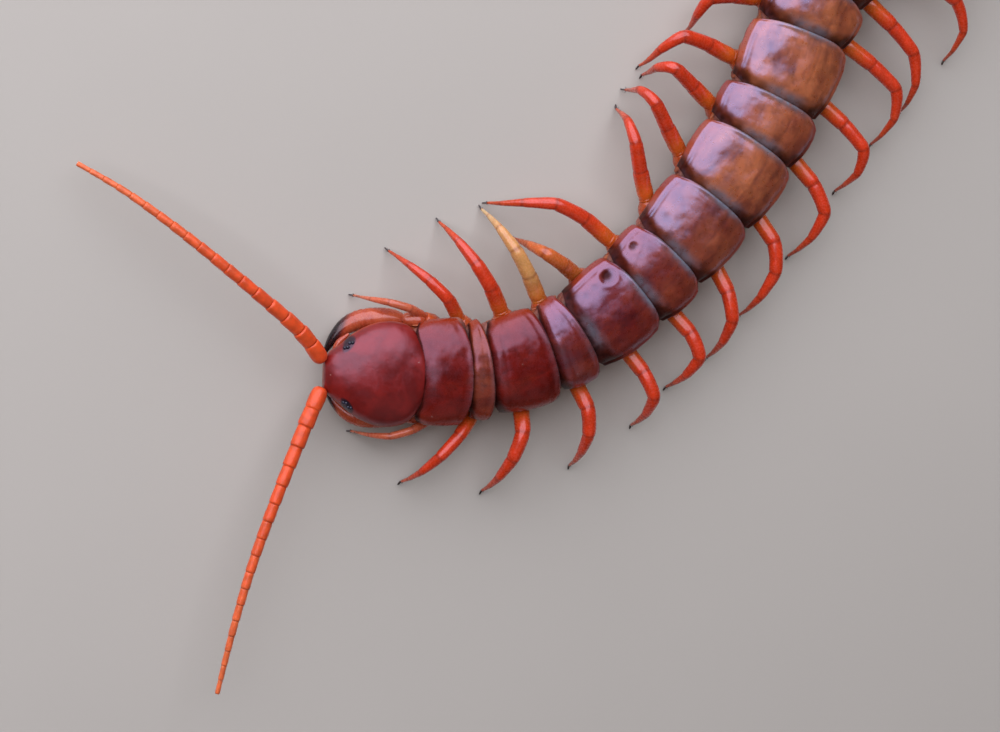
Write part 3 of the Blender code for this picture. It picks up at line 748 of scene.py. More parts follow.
def article_tree(name):
    """A barrel on every point of the base, turned to its aim and scaled to its girth and length."""
    tree = Tree(name, Sides=20, Rings=12)
    barrel = tree.add(
        "GeometryNodeMeshCylinder", Vertices=tree.inputs["Sides"], Side_Segments=tree.inputs["Rings"],
        Radius=1.0, Depth=1.0,
    )
    place = tree.add("GeometryNodeInputPosition")
    parts = tree.add("ShaderNodeSeparateXYZ", Vector=place.outputs[0])
    height = tree.math("ADD", parts.outputs["Z"], 0.5)
    profile = tree.add("ShaderNodeFloatCurve", Value=height)
    points = profile.mapping.curves[0].points
    points[0].location, points[1].location = (0.0, 0.9), (1.0, 0.93)
    for spot in ((0.05, 0.93), (0.3, 0.96), (0.72, 1.0), (0.9, 1.0), (0.97, 0.97)):
        points.new(*spot)
    profile.mapping.update()
    shaped = tree.add(
        "ShaderNodeCombineXYZ", X=tree.math("MULTIPLY", parts.outputs["X"], profile.outputs[0]),
        Y=tree.math("MULTIPLY", parts.outputs["Y"], profile.outputs[0]), Z=height,
    )
    moved = tree.add("GeometryNodeSetPosition", Geometry=barrel.outputs["Mesh"], Position=shaped.outputs[0])
    aim = tree.attribute("aim", "FLOAT_VECTOR")
    turn = tree.add("FunctionNodeAlignRotationToVector", {"axis": "Z"}, Vector=aim)
    return tree.on_points(moved.outputs[0], turn, "girth", "girth", "length")


def claw_tree(name):
    """A curved, pointed claw on every point of the base, turned to its aim with its bend towards its belly."""
    tree = Tree(name, Sides=7, Bend=0.35)
    middle = tree.add("ShaderNodeCombineXYZ", X=tree.inputs["Bend"], Y=0.0, Z=0.5)
    arc = tree.add(
        "GeometryNodeCurveQuadraticBezier", Resolution=6, Start=(0.0, 0.0, 0.0), Middle=middle.outputs[0],
        End=(0.0, 0.0, 1.0),
    )
    share = tree.add("GeometryNodeSplineParameter")
    left = tree.math("SUBTRACT", 1.0, share.outputs["Factor"])
    girth = tree.math("ADD", tree.math("POWER", left, 0.8), 0.06)
    ring = tree.add("GeometryNodeCurvePrimitiveCircle", Resolution=tree.inputs["Sides"], Radius=1.0)
    claw = tree.add(
        "GeometryNodeCurveToMesh", Curve=arc.outputs[0], Profile_Curve=ring.outputs[0],
        Scale=tree.math("MULTIPLY", girth, 0.17), Fill_Caps=True,
    )
    turn = tree.add(
        "FunctionNodeAxesToRotation", {"primary_axis": "Z", "secondary_axis": "X"},
        Primary_Axis=tree.attribute("aim", "FLOAT_VECTOR"), Secondary_Axis=tree.attribute("back", "FLOAT_VECTOR"),
    )
    return tree.on_points(claw.outputs[0], turn, "girth", "girth", "length")


def bristle_tree(name):
    """Fine bristles scattered over the base where its hairy attribute is high."""
    tree = Tree(name, Density=1.0e7, Length=0.00016, Girth=0.000011, Seed=3)
    density = tree.math("MULTIPLY", tree.attribute("hairy"), tree.inputs["Density"])
    spots = tree.add(
        "GeometryNodeDistributePointsOnFaces", Mesh=tree.inputs["Geometry"], Density=density,
        Seed=tree.inputs["Seed"],
    )
    bristle = tree.add(
        "GeometryNodeMeshCone", {"fill_type": "NONE"}, Vertices=4, Radius_Top=0.0,
        Radius_Bottom=tree.inputs["Girth"], Depth=tree.inputs["Length"],
    )
    placed = tree.add(
        "GeometryNodeInstanceOnPoints", Points=spots.outputs["Points"], Instance=bristle.outputs["Mesh"],
        Rotation=spots.outputs["Rotation"],
    )
    return tree.end(placed.outputs[0])


def paths_object(name, paths):
    """A base of edge paths. Each path is its points and a dictionary of values at them."""
    vertices, edges, values = [], [], {}
    for points, numbers in paths:
        first = len(vertices)
        vertices += [list(point) for point in points]
        edges += [(first + i, first + i + 1) for i in range(len(points) - 1)]
        for label, row in numbers.items():
            values.setdefault(label, []).extend(row)
    mesh = bpy.data.meshes.new(name)
    mesh.from_pydata((np.array(vertices) * MM).tolist(), edges, [])
    for label, row in values.items():
        mesh.attributes.new(label, "FLOAT", "POINT").data.foreach_set("value", np.array(row, np.float32))
    return linked(name, mesh)


def spots_object(name, spots):
    """A base of loose points. Each spot is its place and a dictionary of numbers and vectors."""
    mesh = bpy.data.meshes.new(name)
    mesh.from_pydata([list(Vector(place) * MM) for place, _ in spots], [], [])
    for label in spots[0][1]:
        numbers = np.array([values[label] for _, values in spots], np.float32)
        kind, field = ("FLOAT", "value") if numbers.ndim == 1 else ("FLOAT_VECTOR", "vector")
        mesh.attributes.new(label, kind, "POINT").data.foreach_set(field, numbers.ravel())
    return linked(name, mesh)


def swept(name, paths, sides, material):
    """A piece of round bars along edge paths, as thick as their girth values."""
    tree = tree_named("Sweep", sweep_tree)
    return grown(name, paths_object(name + "_path", paths), tree, Sides=sides, Material=material)


# ---- finishes


class Finish(Nodes):
    """The nodes of one material."""

    def __init__(self, name):
        self.material = bpy.data.materials.new(name)
        self.material.use_nodes = True
        self.tree = self.material.node_tree
        self.shader = self.tree.nodes["Principled BSDF"]
        self.place = self.tree.nodes.new("ShaderNodeTexCoord").outputs["Object"]

    def set(self, **sockets):
        for label, value in sockets.items():
            self.feed(self.shader.inputs[label.replace("_", " ")], value)

    def mix(self, factor, first, second, blend="MIX"):
        node = self.tree.nodes.new("ShaderNodeMix")
        node.data_type = "RGBA"
        node.blend_type = blend
        self.feed(node.inputs[0], factor)
        self.feed(node.inputs[6], first)
        self.feed(node.inputs[7], second)
        return node.outputs[2]

    def spread(self, value, low, high, to_low=0.0, to_high=1.0):
        """Maps a value's range to another, with soft ends."""
        node = self.tree.nodes.new("ShaderNodeMapRange")
        node.interpolation_type = "SMOOTHSTEP"
        for socket, number in zip(node.inputs, (value, low, high, to_low, to_high)):
            self.feed(socket, number)
        return node.outputs[0]

    def attribute(self, label):
        node = self.tree.nodes.new("ShaderNodeAttribute")
        node.attribute_name = label
        return node.outputs["Fac"]

    def height(self):
        """Height above the floor, in metres."""
        node = self.tree.nodes.new("ShaderNodeSeparateXYZ")
        self.feed(node.inputs[0], self.place)
        return node.outputs["Z"]

    def texture(self, kind, place, **numbers):
        """A texture node at a place, with numbers for its sockets."""
        node = self.tree.nodes.new(kind)
        self.feed(node.inputs["Vector"], place)
        for label, value in numbers.items():
            node.inputs[label].default_value = value
        return node

    def cloud(self, size, detail=3.0, roughness=0.5, distortion=0.0):
        """Noise with blotches of about so many millimetres."""
        return self.texture(
            "ShaderNodeTexNoise", self.place, Scale=1.0 / (size * MM), Detail=detail, Roughness=roughness,
            Distortion=distortion,
        ).outputs["Fac"]

    def cells(self, size):
        """Distance from the middles of cells about so many millimetres across, as a share of their size."""
        return self.texture("ShaderNodeTexVoronoi", self.place, Scale=1.0 / (size * MM)).outputs["Distance"]

    def pits(self, size):
        """Small round pits about so many millimetres apart: 0 in a pit, 1 between pits."""
        return self.spread(self.cells(size), 0.05, 0.3)

    def streaks(self, width, length):
        """Noise drawn out along the body, from the place across and behind on each plate."""
        place = self.tree.nodes.new("ShaderNodeCombineXYZ")
        self.feed(place.inputs["X"], self.math("DIVIDE", self.attribute("across"), width * MM))
        self.feed(place.inputs["Y"], self.math("DIVIDE", self.attribute("behind"), length * MM))
        return self.texture(
            "ShaderNodeTexNoise", place.outputs[0], Scale=1.0, Detail=3.0, Roughness=0.55, Distortion=0.6,
        ).outputs["Fac"]

    def flecks(self, size, share):
        """Sparse tiny flecks about so many millimetres apart."""
        return self.math("MULTIPLY", self.spread(self.cells(size), 0.6 * share, share, 1.0, 0.0), 0.5)

    def shaded(self, colour, shade):
        """A colour times a brightness."""
        grey = self.mix(shade, (0.0, 0.0, 0.0), (1.0, 1.0, 1.0))
        self.tree.nodes[-1].clamp_factor = False
        return self.mix(1.0, colour, grey, "MULTIPLY")

    def bump(self, height, distance, strength=1.0, normal=None):
        node = self.tree.nodes.new("ShaderNodeBump")
        node.inputs["Strength"].default_value = strength
        node.inputs["Distance"].default_value = distance * MM
        self.feed(node.inputs["Height"], height)
        if normal:
            self.feed(node.inputs["Normal"], normal)
        return node.outputs[0]

    def grained(self, grain, low, high, depth, strength):
        """Roughness between two values, and a fine bump so many millimetres deep, both from one grain."""
        self.set(Roughness=self.spread(grain, 0.3, 0.7, low, high), Normal=self.bump(grain, depth, strength))

    def let_light_in(self, weight, green, blue, depth):
        """Light that goes so many millimetres below the surface, red the furthest."""
        self.set(Subsurface_Weight=weight, Subsurface_Radius=(1.0, green, blue), Subsurface_Scale=depth * MM)


def shell_finish(name):
    """Cuticle of the plates: crimson to orange-brown by plate, faintly streaked, with painted shade in grooves,
    dents and at joints, and a painted grey sky reflection along the edges.
    """
    shell = bpy.context.scene.centipede_shell
    gloss = SHELL_GLOSS[name]
    skin = Finish(name)
    cloud, grain = skin.cloud(4.0, 2.0, 0.5, 0.2), skin.cloud(0.6, 3.0, 0.6)
    streak = skin.streaks(2.6, 6.0)
    lean = skin.math("MULTIPLY", skin.math("ADD", skin.math("ADD", cloud, streak), -1.0), 1.5)
    lean = skin.math("MULTIPLY", lean, skin.math("ADD", skin.attribute("tone"), 0.08))
    colour = skin.mix(skin.math("ADD", skin.attribute("tone"), lean, clamp=True), shell.crimson, shell.brown)
    colour = skin.shaded(colour, skin.spread(streak, 0.3, 0.62, 0.72, 1.1))
    colour = skin.shaded(colour, skin.spread(skin.cloud(1.5, 4.0, 0.65, 0.4), 0.3, 0.6, 0.78, 1.08))
    colour = skin.mix(skin.math("MULTIPLY", skin.attribute("side"), 0.6), colour, PLATE_SIDE_COLOUR)
    # Painted shade in the grooves and dents
    colour = skin.mix(skin.math("MULTIPLY", skin.attribute("line"), 0.5), colour, HOLLOW_SHADE_COLOUR)
    # Painted shade at the joints, where a plate lies under the plate ahead, and along its hind edge, from near black
    # to dark red in patches
    patchy = skin.cloud(0.9, 4.0, 0.6, 0.6)
    shade_colour = skin.mix(skin.spread(patchy, 0.35, 0.65), *JOINT_SHADE_COLOURS)
    colour = skin.mix(skin.math("MULTIPLY", skin.attribute("recess"), 0.96), colour, shade_colour)
    # Painted reflection: a patchy bluish grey along the plates' edges, standing in for the sky
    grey = skin.math("MULTIPLY", skin.attribute("seam"), skin.spread(patchy, 0.3, 0.6, 0.35, 0.95), clamp=True)
    colour = skin.mix(grey, colour, shell.seam)
    colour = skin.mix(skin.flecks(2.4, 0.035), colour, (0.5, 0.4, 0.38))
    normal = skin.bump(skin.pits(0.42), 0.004, 0.4)
    normal = skin.bump(skin.cloud(1.5, 3.0, 0.55, 0.3), 0.03 + 0.05 * gloss, 0.5, normal)
    normal = skin.bump(grain, 0.016, 0.35, normal)
    rough = 0.27 + 0.03 * gloss
    sheen = (0.9 - 0.45 * gloss**2, 0.58, 0.8 + 0.2 * gloss)
    skin.set(
        Base_Color=colour, Roughness=skin.spread(grain, 0.3, 0.7, rough - 0.03, rough + 0.04), Normal=normal,
        IOR=1.68 + 0.7 * gloss, Specular_Tint=(*sheen, 1.0),
    )
    skin.set(Specular_Tint=skin.mix(skin.spread(skin.attribute("recess"), 0.15, 0.8), sheen, DULL_SHEEN))
    skin.let_light_in(0.05, 0.3, 0.15, 0.8)
    return skin.material


def head_finish(name):
    """The head's cuticle: even crimson with an orange rim and sparse fine pits."""
    head = bpy.context.scene.centipede_head
    skin = Finish(name)
    cloud, grain = skin.cloud(3.0, 4.0, 0.55, 0.3), skin.cloud(0.5, 3.0, 0.6)
    shade = skin.spread(cloud, 0.32, 0.68, 0.62, 1.1)
    colour = skin.shaded(skin.mix(skin.attribute("rim"), head.crimson, head.rim), shade)
    colour = skin.mix(skin.flecks(1.9, 0.05), colour, (0.5, 0.35, 0.32))
    colour = skin.mix(skin.attribute("pigment"), colour, PIGMENT_COLOUR)
    normal = skin.bump(grain, 0.025, 0.5, skin.bump(skin.pits(0.6), 0.008, 0.6))
    skin.set(
        Base_Color=colour, Roughness=skin.spread(grain, 0.3, 0.7, 0.3, 0.38), Normal=normal, IOR=1.72,
        Specular_Tint=(1.0, 0.62, 0.8, 1.0),
    )
    skin.let_light_in(0.08, 0.25, 0.15, 0.8)
    return skin.material


def membrane_finish(name):
    """The soft flank: dull pinkish brown, folded, with painted shade high up, where it lies under the back plates
    and shows between them.
    """
    shell = bpy.context.scene.centipede_shell
    skin = Finish(name)
    cloud, fold = skin.cloud(1.2, 4.0, 0.6, 0.8), skin.cloud(0.35, 4.0, 0.65, 1.2)
    colour = skin.mix(skin.spread(cloud, 0.35, 0.65), shell.membrane, (0.32, 0.12, 0.09))
    # Painted shade: near black above the side edges of the back plates, where the flank lies under them
    dark = skin.spread(skin.height(), 0.0066, 0.0078)
    skin.set(Base_Color=skin.mix(skin.math("MULTIPLY", dark, 0.9), colour, (0.02, 0.014, 0.014)))
    skin.grained(fold, 0.38, 0.6, 0.09, 0.8)
    skin.let_light_in(0.1, 0.35, 0.2, 1.0)
    return skin.material


def flank_shield_finish(name):
    """The hard shields of the flank: orange-brown, satin, mottled."""
    skin = Finish(name)
    cloud, grain = skin.cloud(0.8, 4.0, 0.6, 0.4), skin.cloud(0.25, 3.0, 0.6)
    skin.set(Base_Color=skin.mix(skin.spread(cloud, 0.3, 0.65), (0.2, 0.035, 0.014), (0.44, 0.12, 0.04)), IOR=1.5)
    skin.grained(grain, 0.3, 0.45, 0.03, 0.5)
    return skin.material


def leg_finish(name):
    """A leg's cuticle: one colour at the root, one along the shaft, one at the foot, dark at the joints."""
    root, shaft, foot = leg_colours()[name]
    skin = Finish(name)
    cloud, grain = skin.cloud(1.3, 3.0, 0.55, 0.4), skin.cloud(0.3, 3.0, 0.6)
    drift = skin.math("MULTIPLY", skin.math("SUBTRACT", cloud, 0.5), 0.12)
    reach = skin.math("ADD", skin.attribute("along"), drift)
    colour = skin.mix(skin.spread(reach, 0.05, 0.3), root, shaft)
    colour = skin.mix(skin.spread(reach, 0.62, 0.95), colour, foot)
    colour = skin.shaded(colour, skin.spread(cloud, 0.3, 0.7, 0.84, 1.06))
    colour = skin.mix(skin.math("MULTIPLY", skin.attribute("ring"), 0.5), colour, (0.16, 0.014, 0.006))
    skin.set(Base_Color=colour, IOR=1.55, Specular_Tint=(1.0, 0.7, 0.78, 1.0))
    skin.set(Coat_Weight=0.4, Coat_Roughness=0.08)
    skin.grained(grain, 0.22, 0.32, 0.012, 0.35)
    skin.let_light_in(0.2, 0.22, 0.08, 0.9)
    return skin.material


def leg_colours():
    """Colours of root, shaft and foot, by the name of a leg's finish."""
    legs = bpy.context.scene.centipede_legs
    return {
        "leg_cuticle": (legs.root, legs.shaft, legs.foot),
        "amber_cuticle": ((0.7, 0.2, 0.03), legs.amber, (0.6, 0.4, 0.2)),
        "orange_cuticle": ((0.62, 0.17, 0.03), (0.56, 0.13, 0.03), (0.5, 0.1, 0.03)),
        "salmon_cuticle": ((0.5, 0.07, 0.02), (0.56, 0.13, 0.06), (0.55, 0.16, 0.08)),
        "hip": ((0.4, 0.07, 0.02), legs.root, legs.root),
    }


def antenna_finish(name):
    """An antenna's cuticle: red-orange, paler towards its tip."""
    head = bpy.context.scene.centipede_head
    skin = Finish(name)
    colour = skin.mix(skin.spread(skin.attribute("along"), 0.3, 1.0), head.antenna, (0.8, 0.17, 0.055))
    colour = skin.shaded(colour, skin.spread(skin.cloud(1.1, 3.0), 0.3, 0.7, 0.78, 1.08))
    skin.set(Base_Color=colour, Specular_Tint=(1.0, 0.75, 0.75, 1.0), Coat_Weight=0.15, Coat_Roughness=0.16)
    skin.grained(skin.cloud(0.22, 3.0, 0.6), 0.3, 0.48, 0.02, 0.5)
    skin.let_light_in(0.25, 0.25, 0.1, 0.8)
    return skin.material


def fang_finish(name):
    """Poison claws and mouthparts: orange-brown, through maroon to black where the dark attribute says."""
    head = bpy.context.scene.centipede_head
    skin = Finish(name)
    colour = skin.mix(skin.spread(skin.cloud(1.4, 3.0, 0.5), 0.3, 0.7), head.fang, (0.36, 0.05, 0.02))
    dark = skin.attribute("dark")
    colour = skin.mix(skin.spread(dark, 0.0, 0.55), colour, (0.06, 0.008, 0.008))
    colour = skin.mix(skin.spread(dark, 0.4, 0.9), colour, head.black)
    skin.set(Base_Color=colour, IOR=1.6, Specular_Tint=(1.0, 0.8, 0.85, 1.0), Coat_Weight=0.3, Coat_Roughness=0.1)
    skin.grained(skin.cloud(0.3, 3.0, 0.6), 0.18, 0.32, 0.015, 0.4)
    skin.let_light_in(0.1, 0.3, 0.1, 0.6)
    return skin.material


def claw_finish(name):
    """Horn-black claws and spines, dark red in places."""
    skin = Finish(name)
    grain = skin.cloud(0.2, 3.0, 0.6)
    black = bpy.context.scene.centipede_head.black
    skin.set(
        Base_Color=skin.mix(skin.spread(grain, 0.35, 0.7), black, (0.05, 0.01, 0.006)), Coat_Weight=0.6,
        Coat_Roughness=0.1,
    )
    skin.grained(grain, 0.2, 0.34, 0.01, 0.4)
    return skin.material


def eye_finish(name):
    """Black lenses with a bluish gloss."""
    skin = Finish(name)
    grain = skin.cloud(0.25, 2.0)
    skin.set(
        Base_Color=skin.mix(skin.spread(grain, 0.3, 0.7), (0.006, 0.006, 0.012), (0.02, 0.02, 0.045)),
        Roughness=skin.spread(grain, 0.3, 0.7, 0.2, 0.3), IOR=1.5,
    )
    return skin.material


def floor_finish(name):
    """A plain, pale, matt floor with a very faint grain."""
    stage = bpy.context.scene.centipede_stage
    ground = Finish(name)
    cloud, grain = ground.cloud(40.0, 3.0), ground.cloud(0.8, 3.0, 0.6)
    low = tuple(value * 0.95 for value in stage.floor)
    ground.set(Base_Color=ground.mix(cloud, low, stage.floor), Specular_IOR_Level=0.3)
    ground.grained(grain, 0.75, 0.85, 0.01, 0.3)
    return ground.material


FINISHES = {
    "satin_cuticle": shell_finish, "sheen_cuticle": shell_finish, "plate_cuticle": shell_finish,
    "membrane": membrane_finish, "flank_shield": flank_shield_finish, "head_shell": head_finish,
    "leg_cuticle": leg_finish, "amber_cuticle": leg_finish, "orange_cuticle": leg_finish,
    "salmon_cuticle": leg_finish, "hip": leg_finish, "antenna_cuticle": antenna_finish,
    "poison_claw": fang_finish, "claw_horn": claw_finish, "eye_lens": eye_finish, "plain_floor": floor_finish,
}


def finish_named(name):
    """A finish by name, built the first time that it is asked for."""
    return bpy.data.materials.get(name) or FINISHES[name](name)


# ---- back plates, belly plates and flanks


def plate_top(plate, behind, length):
    """Height of the back's ridge at so many millimetres behind a plate's front edge."""
    scale = np.minimum(1.0, length / FULL_DIP_LENGTH)
    front_dip = RIDGED_DIP if 1 < plate < FIRST_RIMMED else FRONT_DIP
    hind_dip = through(HIND_DIP, (length - behind) / scale)
    dip = through(front_dip, behind / scale) + hind_dip
    if plate == 2:
        dip = through(SHORT_DIP, behind) + 0.8 * hind_dip
    top = BACK_Z - dip
    if plate == 1:
        top = BACK_Z - NECK_DIP * (1.0 - behind / length) ** 1.5 - 0.5 * dip
    if plate == len(PLATES):
        start, depth = LAST_FALL
        top = top - depth * (np.clip(behind / length - start, 0.0, 1.0) / (1.0 - start)) ** 1.5
    return top


def plate_grid(plate, length, overlap):
    """A back plate's grid: angle from its ridge, share of its width, front and hind edge, way behind."""
    last = plate == len(PLATES)
    reach = length + TUCK + (0.0 if last or plate < FIRST_RIMMED else overlap)
    q = np.linspace(0.0, 1.0, int(reach / PLATE_STEP) + 12)[:, None]
    shares = 0.6 * q + 0.4 * (0.5 - 0.5 * np.cos(np.pi * q))
    angle = np.linspace(-np.pi / 2, np.pi / 2, PLATE_COLUMNS + 1)[None, :]
    out = np.sign(np.sin(angle)) * np.abs(np.sin(angle)) ** (2 / DOME_POWER)
    corner, hind_corner = (NECK_CORNER, NECK_HIND_CORNER) if plate == 1 else (FRONT_CORNER, HIND_CORNER)
    front = -TUCK + corner[0] * min(1.0, length / 6) * np.abs(out) ** corner[1]
    if plate == 1:
        front = front - NECK_REACH + NECK_ROUND[0] * np.abs(out) ** NECK_ROUND[1]
    hind = reach - TUCK - hind_corner[0] * np.abs(out) ** hind_corner[1]
    if last:
        hind = hind - LAST_ROUND * np.abs(out) ** 2
    return angle, out, front, hind, front + (hind - front) * shares


def sutures(plate, across, half_width):
    """The two grooves along a back plate, or the one of the last plate: 1 in a groove."""
    if plate == len(PLATES):
        return hump(across, SUTURE_WIDTH)
    return 0.5 * hump(np.abs(across) - SUTURE_ACROSS * half_width, SUTURE_WIDTH)


def painted_seam_reflection(out, from_front, from_hind):
    """Painted reflection of the sky, in grey, on a back plate: along its hind edge, and faintly a little behind its
    front.
    """
    hind = hump(from_hind, SEAM_WIDTH) * hump(out, 0.6, 4)
    return np.maximum(hind, 0.55 * hump(from_front - 1.5, SEAM_WIDTH) * hump(out, 0.4, 4))


def joint_shade(plate, points, out, from_front, from_hind):
    """Painted shade on a back plate: at its front, where it lies under the plate ahead, reaching further back on its
    left side, away from the sky light, and at the sides of a rimmed plate; and in a thin line along its hind edge.
    """
    reach = DARK_FRONTS[min(plate, len(DARK_FRONTS)) - 1] * (0.8 + 0.25 * out)
    reach = reach + (DARK_CORNERS * out**2 if plate >= FIRST_RIMMED else 0.0)
    joint = hump(from_front, reach * (1.0 + 0.22 * waves(points, 1.3, 90.0)), 4)
    return np.maximum(joint, 0.8 * hump(from_hind, 0.1))


def back_plate(plate, shell):
    """One plate of the back: domed, rimmed, grooved, dented and a little uneven."""
    length, half_width = PLATES[plate - 1]
    rimmed = plate >= FIRST_RIMMED
    angle, out, front, hind, behind = plate_grid(plate, length, shell.overlap / MM)
    from_front, from_hind = behind - front, hind - behind
    widths = LAST_WIDTHS if plate == len(PLATES) else NECK_WIDTHS if plate == 1 else WIDTHS
    width = half_width * through(widths, behind / length)
    across = width * out + (PLATES_LEFT[plate - 1] if plate <= len(PLATES_LEFT) else 0.0)
    top = plate_top(plate, from_front + 0.35 * np.abs(out) ** 3, hind - front)
    edge = EDGE_Z - 0.3 * (BACK_Z - top)
    up = edge + (top - edge) * np.abs(np.cos(angle)) ** (2 / DOME_POWER)
    points = on_body(plate, behind, across, up)
    ends = np.clip(from_front, 0.0, 1.0) * ramp(from_hind, 0.0, 0.7)
    # The grooves are sunk here, and the finish gives them painted shade
    line = sutures(plate, across, half_width) * ends if plate >= FIRST_SUTURED else np.zeros(up.shape)
    up = up - shell.suture_depth / MM * line
    if rimmed:
        lean = np.abs(np.degrees(angle)) * np.ones(up.shape)
        fade = np.clip(1.25 - behind / length, 0.0, 1.0) * (0.75 + 0.25 * waves(points, 2.0, 60.0))
        groove = hump(lean - GROOVE_ANGLE, GROOVE_WIDTH) * fade
        ridge = hump(lean - RIDGE_ANGLE, RIDGE_WIDTH)
        across = across * (1.0 - GROOVE_IN * groove + RIDGE_OUT * ridge)
        up = up + (RIDGE_HEIGHT * ridge - GROOVE_DEPTH * groove) * ends
        line = np.maximum(line, 0.9 * groove)
    swell = sum(share * waves(points, size, seed) for share, size, seed in
                ((0.6, 3.0, plate), (0.28, 1.4, plate + 40.0), (0.12, 0.7, 80.0)))
    up = up + shell.unevenness / MM * swell * (0.35 + 0.65 * ends)
    # Painted shade where the plate lies under the plate ahead and along its hind edge
    recess = joint_shade(plate, points, out, from_front, from_hind)
    for at_plate, at_behind, at_across, radius, depth in DENTS:
        if at_plate == plate:
            far = np.hypot(behind - at_behind, (across - at_across) * 1.3) / radius
            up = up - depth * hump(far, 1.0) + 0.22 * depth * hump(far - 1.6, 0.45)
            # The dent's hollow is given painted shade as well
            line = np.maximum(line, min(1.0, 4.0 * depth) * hump(far, 1.0, 4))
            recess = np.maximum(recess, min(0.75, 1.8 * depth) * hump(far, 0.9, 4))
    stripe = STRIPE_TONE * hump(out, STRIPE_HALF) if plate > FIRST_GLOSSY else 0.0 * out
    # The seam values paint a grey reflection of the sky along the plate's edges
    values = {
        "tone": TONES[plate - 1] + stripe + np.zeros(up.shape), "line": line, "recess": recess,
        "seam": (1.0 if rimmed else 0.2) * painted_seam_reflection(out, from_front, from_hind),
        "side": np.abs(out) ** 6 * np.ones(up.shape), "across": across * MM, "behind": behind * MM + plate,
    }
    return plate_piece(f"back_plate_{plate:02d}", on_body(plate, behind, across, up), values, shell.thickness, 1)


def plate_piece(name, points, values, thickness, side):
    """A sheet that faces up (side 1) or down (side -1), grown inwards to a closed plate."""
    obj = new_piece(name, points.reshape(-1, 3), grid_faces(*points.shape[:2]), values)
    if obj.data.polygons[len(obj.data.polygons) // 2].normal.z * side < 0:
        obj.data.flip_normals()
    wall = obj.modifiers.new("Wall", "SOLIDIFY")
    wall.thickness = thickness
    wall.offset = -1.0
    return obj


class CENTIPEDE_OT_back_plates(bpy.types.Operator):
    """Builds the 21 plates of the back"""

    bl_idname = "centipede.back_plates"
    bl_label = "Back plates"

    def execute(self, context):
        for plate in range(1, len(PLATES) + 1):
            name = "satin" if plate < FIRST_SHEEN else "sheen" if plate < FIRST_GLOSSY else "plate"
            skin = finish_named(name + "_cuticle")
            finish_piece(back_plate(plate, context.scene.centipede_shell), skin, "shell")
        return {"FINISHED"}


def belly_plate(plate, shell):
    """One plate of the belly: nearly flat, round-cornered, with two short grooves."""
    length, half_width = PLATES[plate - 1]
    last = plate == len(PLATES)
    half = BELLY_SHARE * half_width
    s = np.linspace(0.0, 1.0, int(length / 0.3) + 8)[:, None]
    t = np.linspace(-1.0, 1.0, BELLY_COLUMNS)[None, :]
    front = 0.25 + 0.5 * np.abs(t) ** 6
    hind = length + 0.15 - (2.1 if last else 0.5) * np.abs(t) ** 4
    behind = front + (hind - front) * s
    across = half * t * (1.0 - 0.08 * np.abs(2 * s - 1) ** 4) * (1.0 - (0.35 * behind / length if last else 0.0))
    groove = hump(np.abs(across) - BELLY_GROOVES * half, SUTURE_WIDTH) * np.clip(1.2 - behind / length, 0.0, 1.0)
    up = BELLY_Z + 0.3 * np.abs(t) ** 2.5 + 0.14 * np.abs(2 * s - 1) ** 6 + 0.08 * groove
    flat = np.ones(up.shape)
    # The belly's grooves get painted shade, and its hind edge a painted grey reflection of the sky
    values = {
        "tone": 0.8 * flat, "line": groove, "seam": 0.7 * hump(hind - behind, 0.5) * flat, "recess": 0.0 * flat,
        "side": np.abs(t) ** 6 * flat, "across": across * MM, "behind": behind * MM + plate,
    }
    points = on_body(plate, behind, across, up)
    return plate_piece(f"belly_plate_{plate:02d}", points, values, 0.8 * shell.thickness, -1)


class CENTIPEDE_OT_belly_plates(bpy.types.Operator):
    """Builds the 21 plates of the belly"""

    bl_idname = "centipede.belly_plates"
    bl_label = "Belly plates"

    def execute(self, context):
        for plate in range(1, len(PLATES) + 1):
            made = belly_plate(plate, context.scene.centipede_shell)
            finish_piece(made, finish_named("plate_cuticle"), "shell")
        return {"FINISHED"}


def flank_outline(top):
    """(share of the width, up) of the soft body, from the middle of the back down the left side."""
    return np.array((
        (0.0, top), (0.3, top - 0.12), (0.6, top - 0.6), (0.8, top - 1.35), (0.9, 6.9), (0.94, 6.3), (0.92, 5.95),
        (0.86, 5.6), (0.82, 5.1), (0.86, 4.6), (0.87, 4.1), (0.82, 3.5), (0.72, 3.0), (0.6, 2.72), (0.3, 2.6),
        (0.0, 2.56),
    ))


def shield_tree(name):
    """A low, round shield on every point of the base, flat against its back vector."""
    tree = Tree(name, Segments=12, Rings=6)
    ball = tree.add(
        "GeometryNodeMeshUVSphere", Segments=tree.inputs["Segments"], Rings=tree.inputs["Rings"], Radius=1.0,
    )
    turn = tree.add(
        "FunctionNodeAxesToRotation", {"primary_axis": "Z", "secondary_axis": "X"},
        Primary_Axis=tree.attribute("back", "FLOAT_VECTOR"), Secondary_Axis=tree.attribute("aim", "FLOAT_VECTOR"),
    )
    return tree.on_points(ball.outputs["Mesh"], turn, "length", "girth", "rise")


def flank_spot(plate, side_name, behind, up, size):
    """A shield flat on the flank: so far behind the leg's root, at a height, of length, width and rise."""
    shares = ROOT_SHARES[side_name]
    length, half_width = PLATES[plate - 1]
    place = shares[min(plate, len(shares)) - 1] * length + behind
    outline = flank_outline(FLANK_TOP)[::-1]
    half = np.interp(up, outline[:, 1], outline[:, 0]) * half_width * float(through(WIDTHS, place / length))
    side = SIDES[side_name]
    spot, outer, after = on_body(
        plate, np.array([place, place, place + 1.0]), side * np.array([half, half + 1.0, half]), np.full(3, up),
    )
    return Vector(spot), {
        "back": Vector(outer - spot).normalized(), "aim": Vector(after - spot).normalized(),
        "length": size[0] * MM, "girth": size[1] * MM, "rise": size[2] * MM,
    }


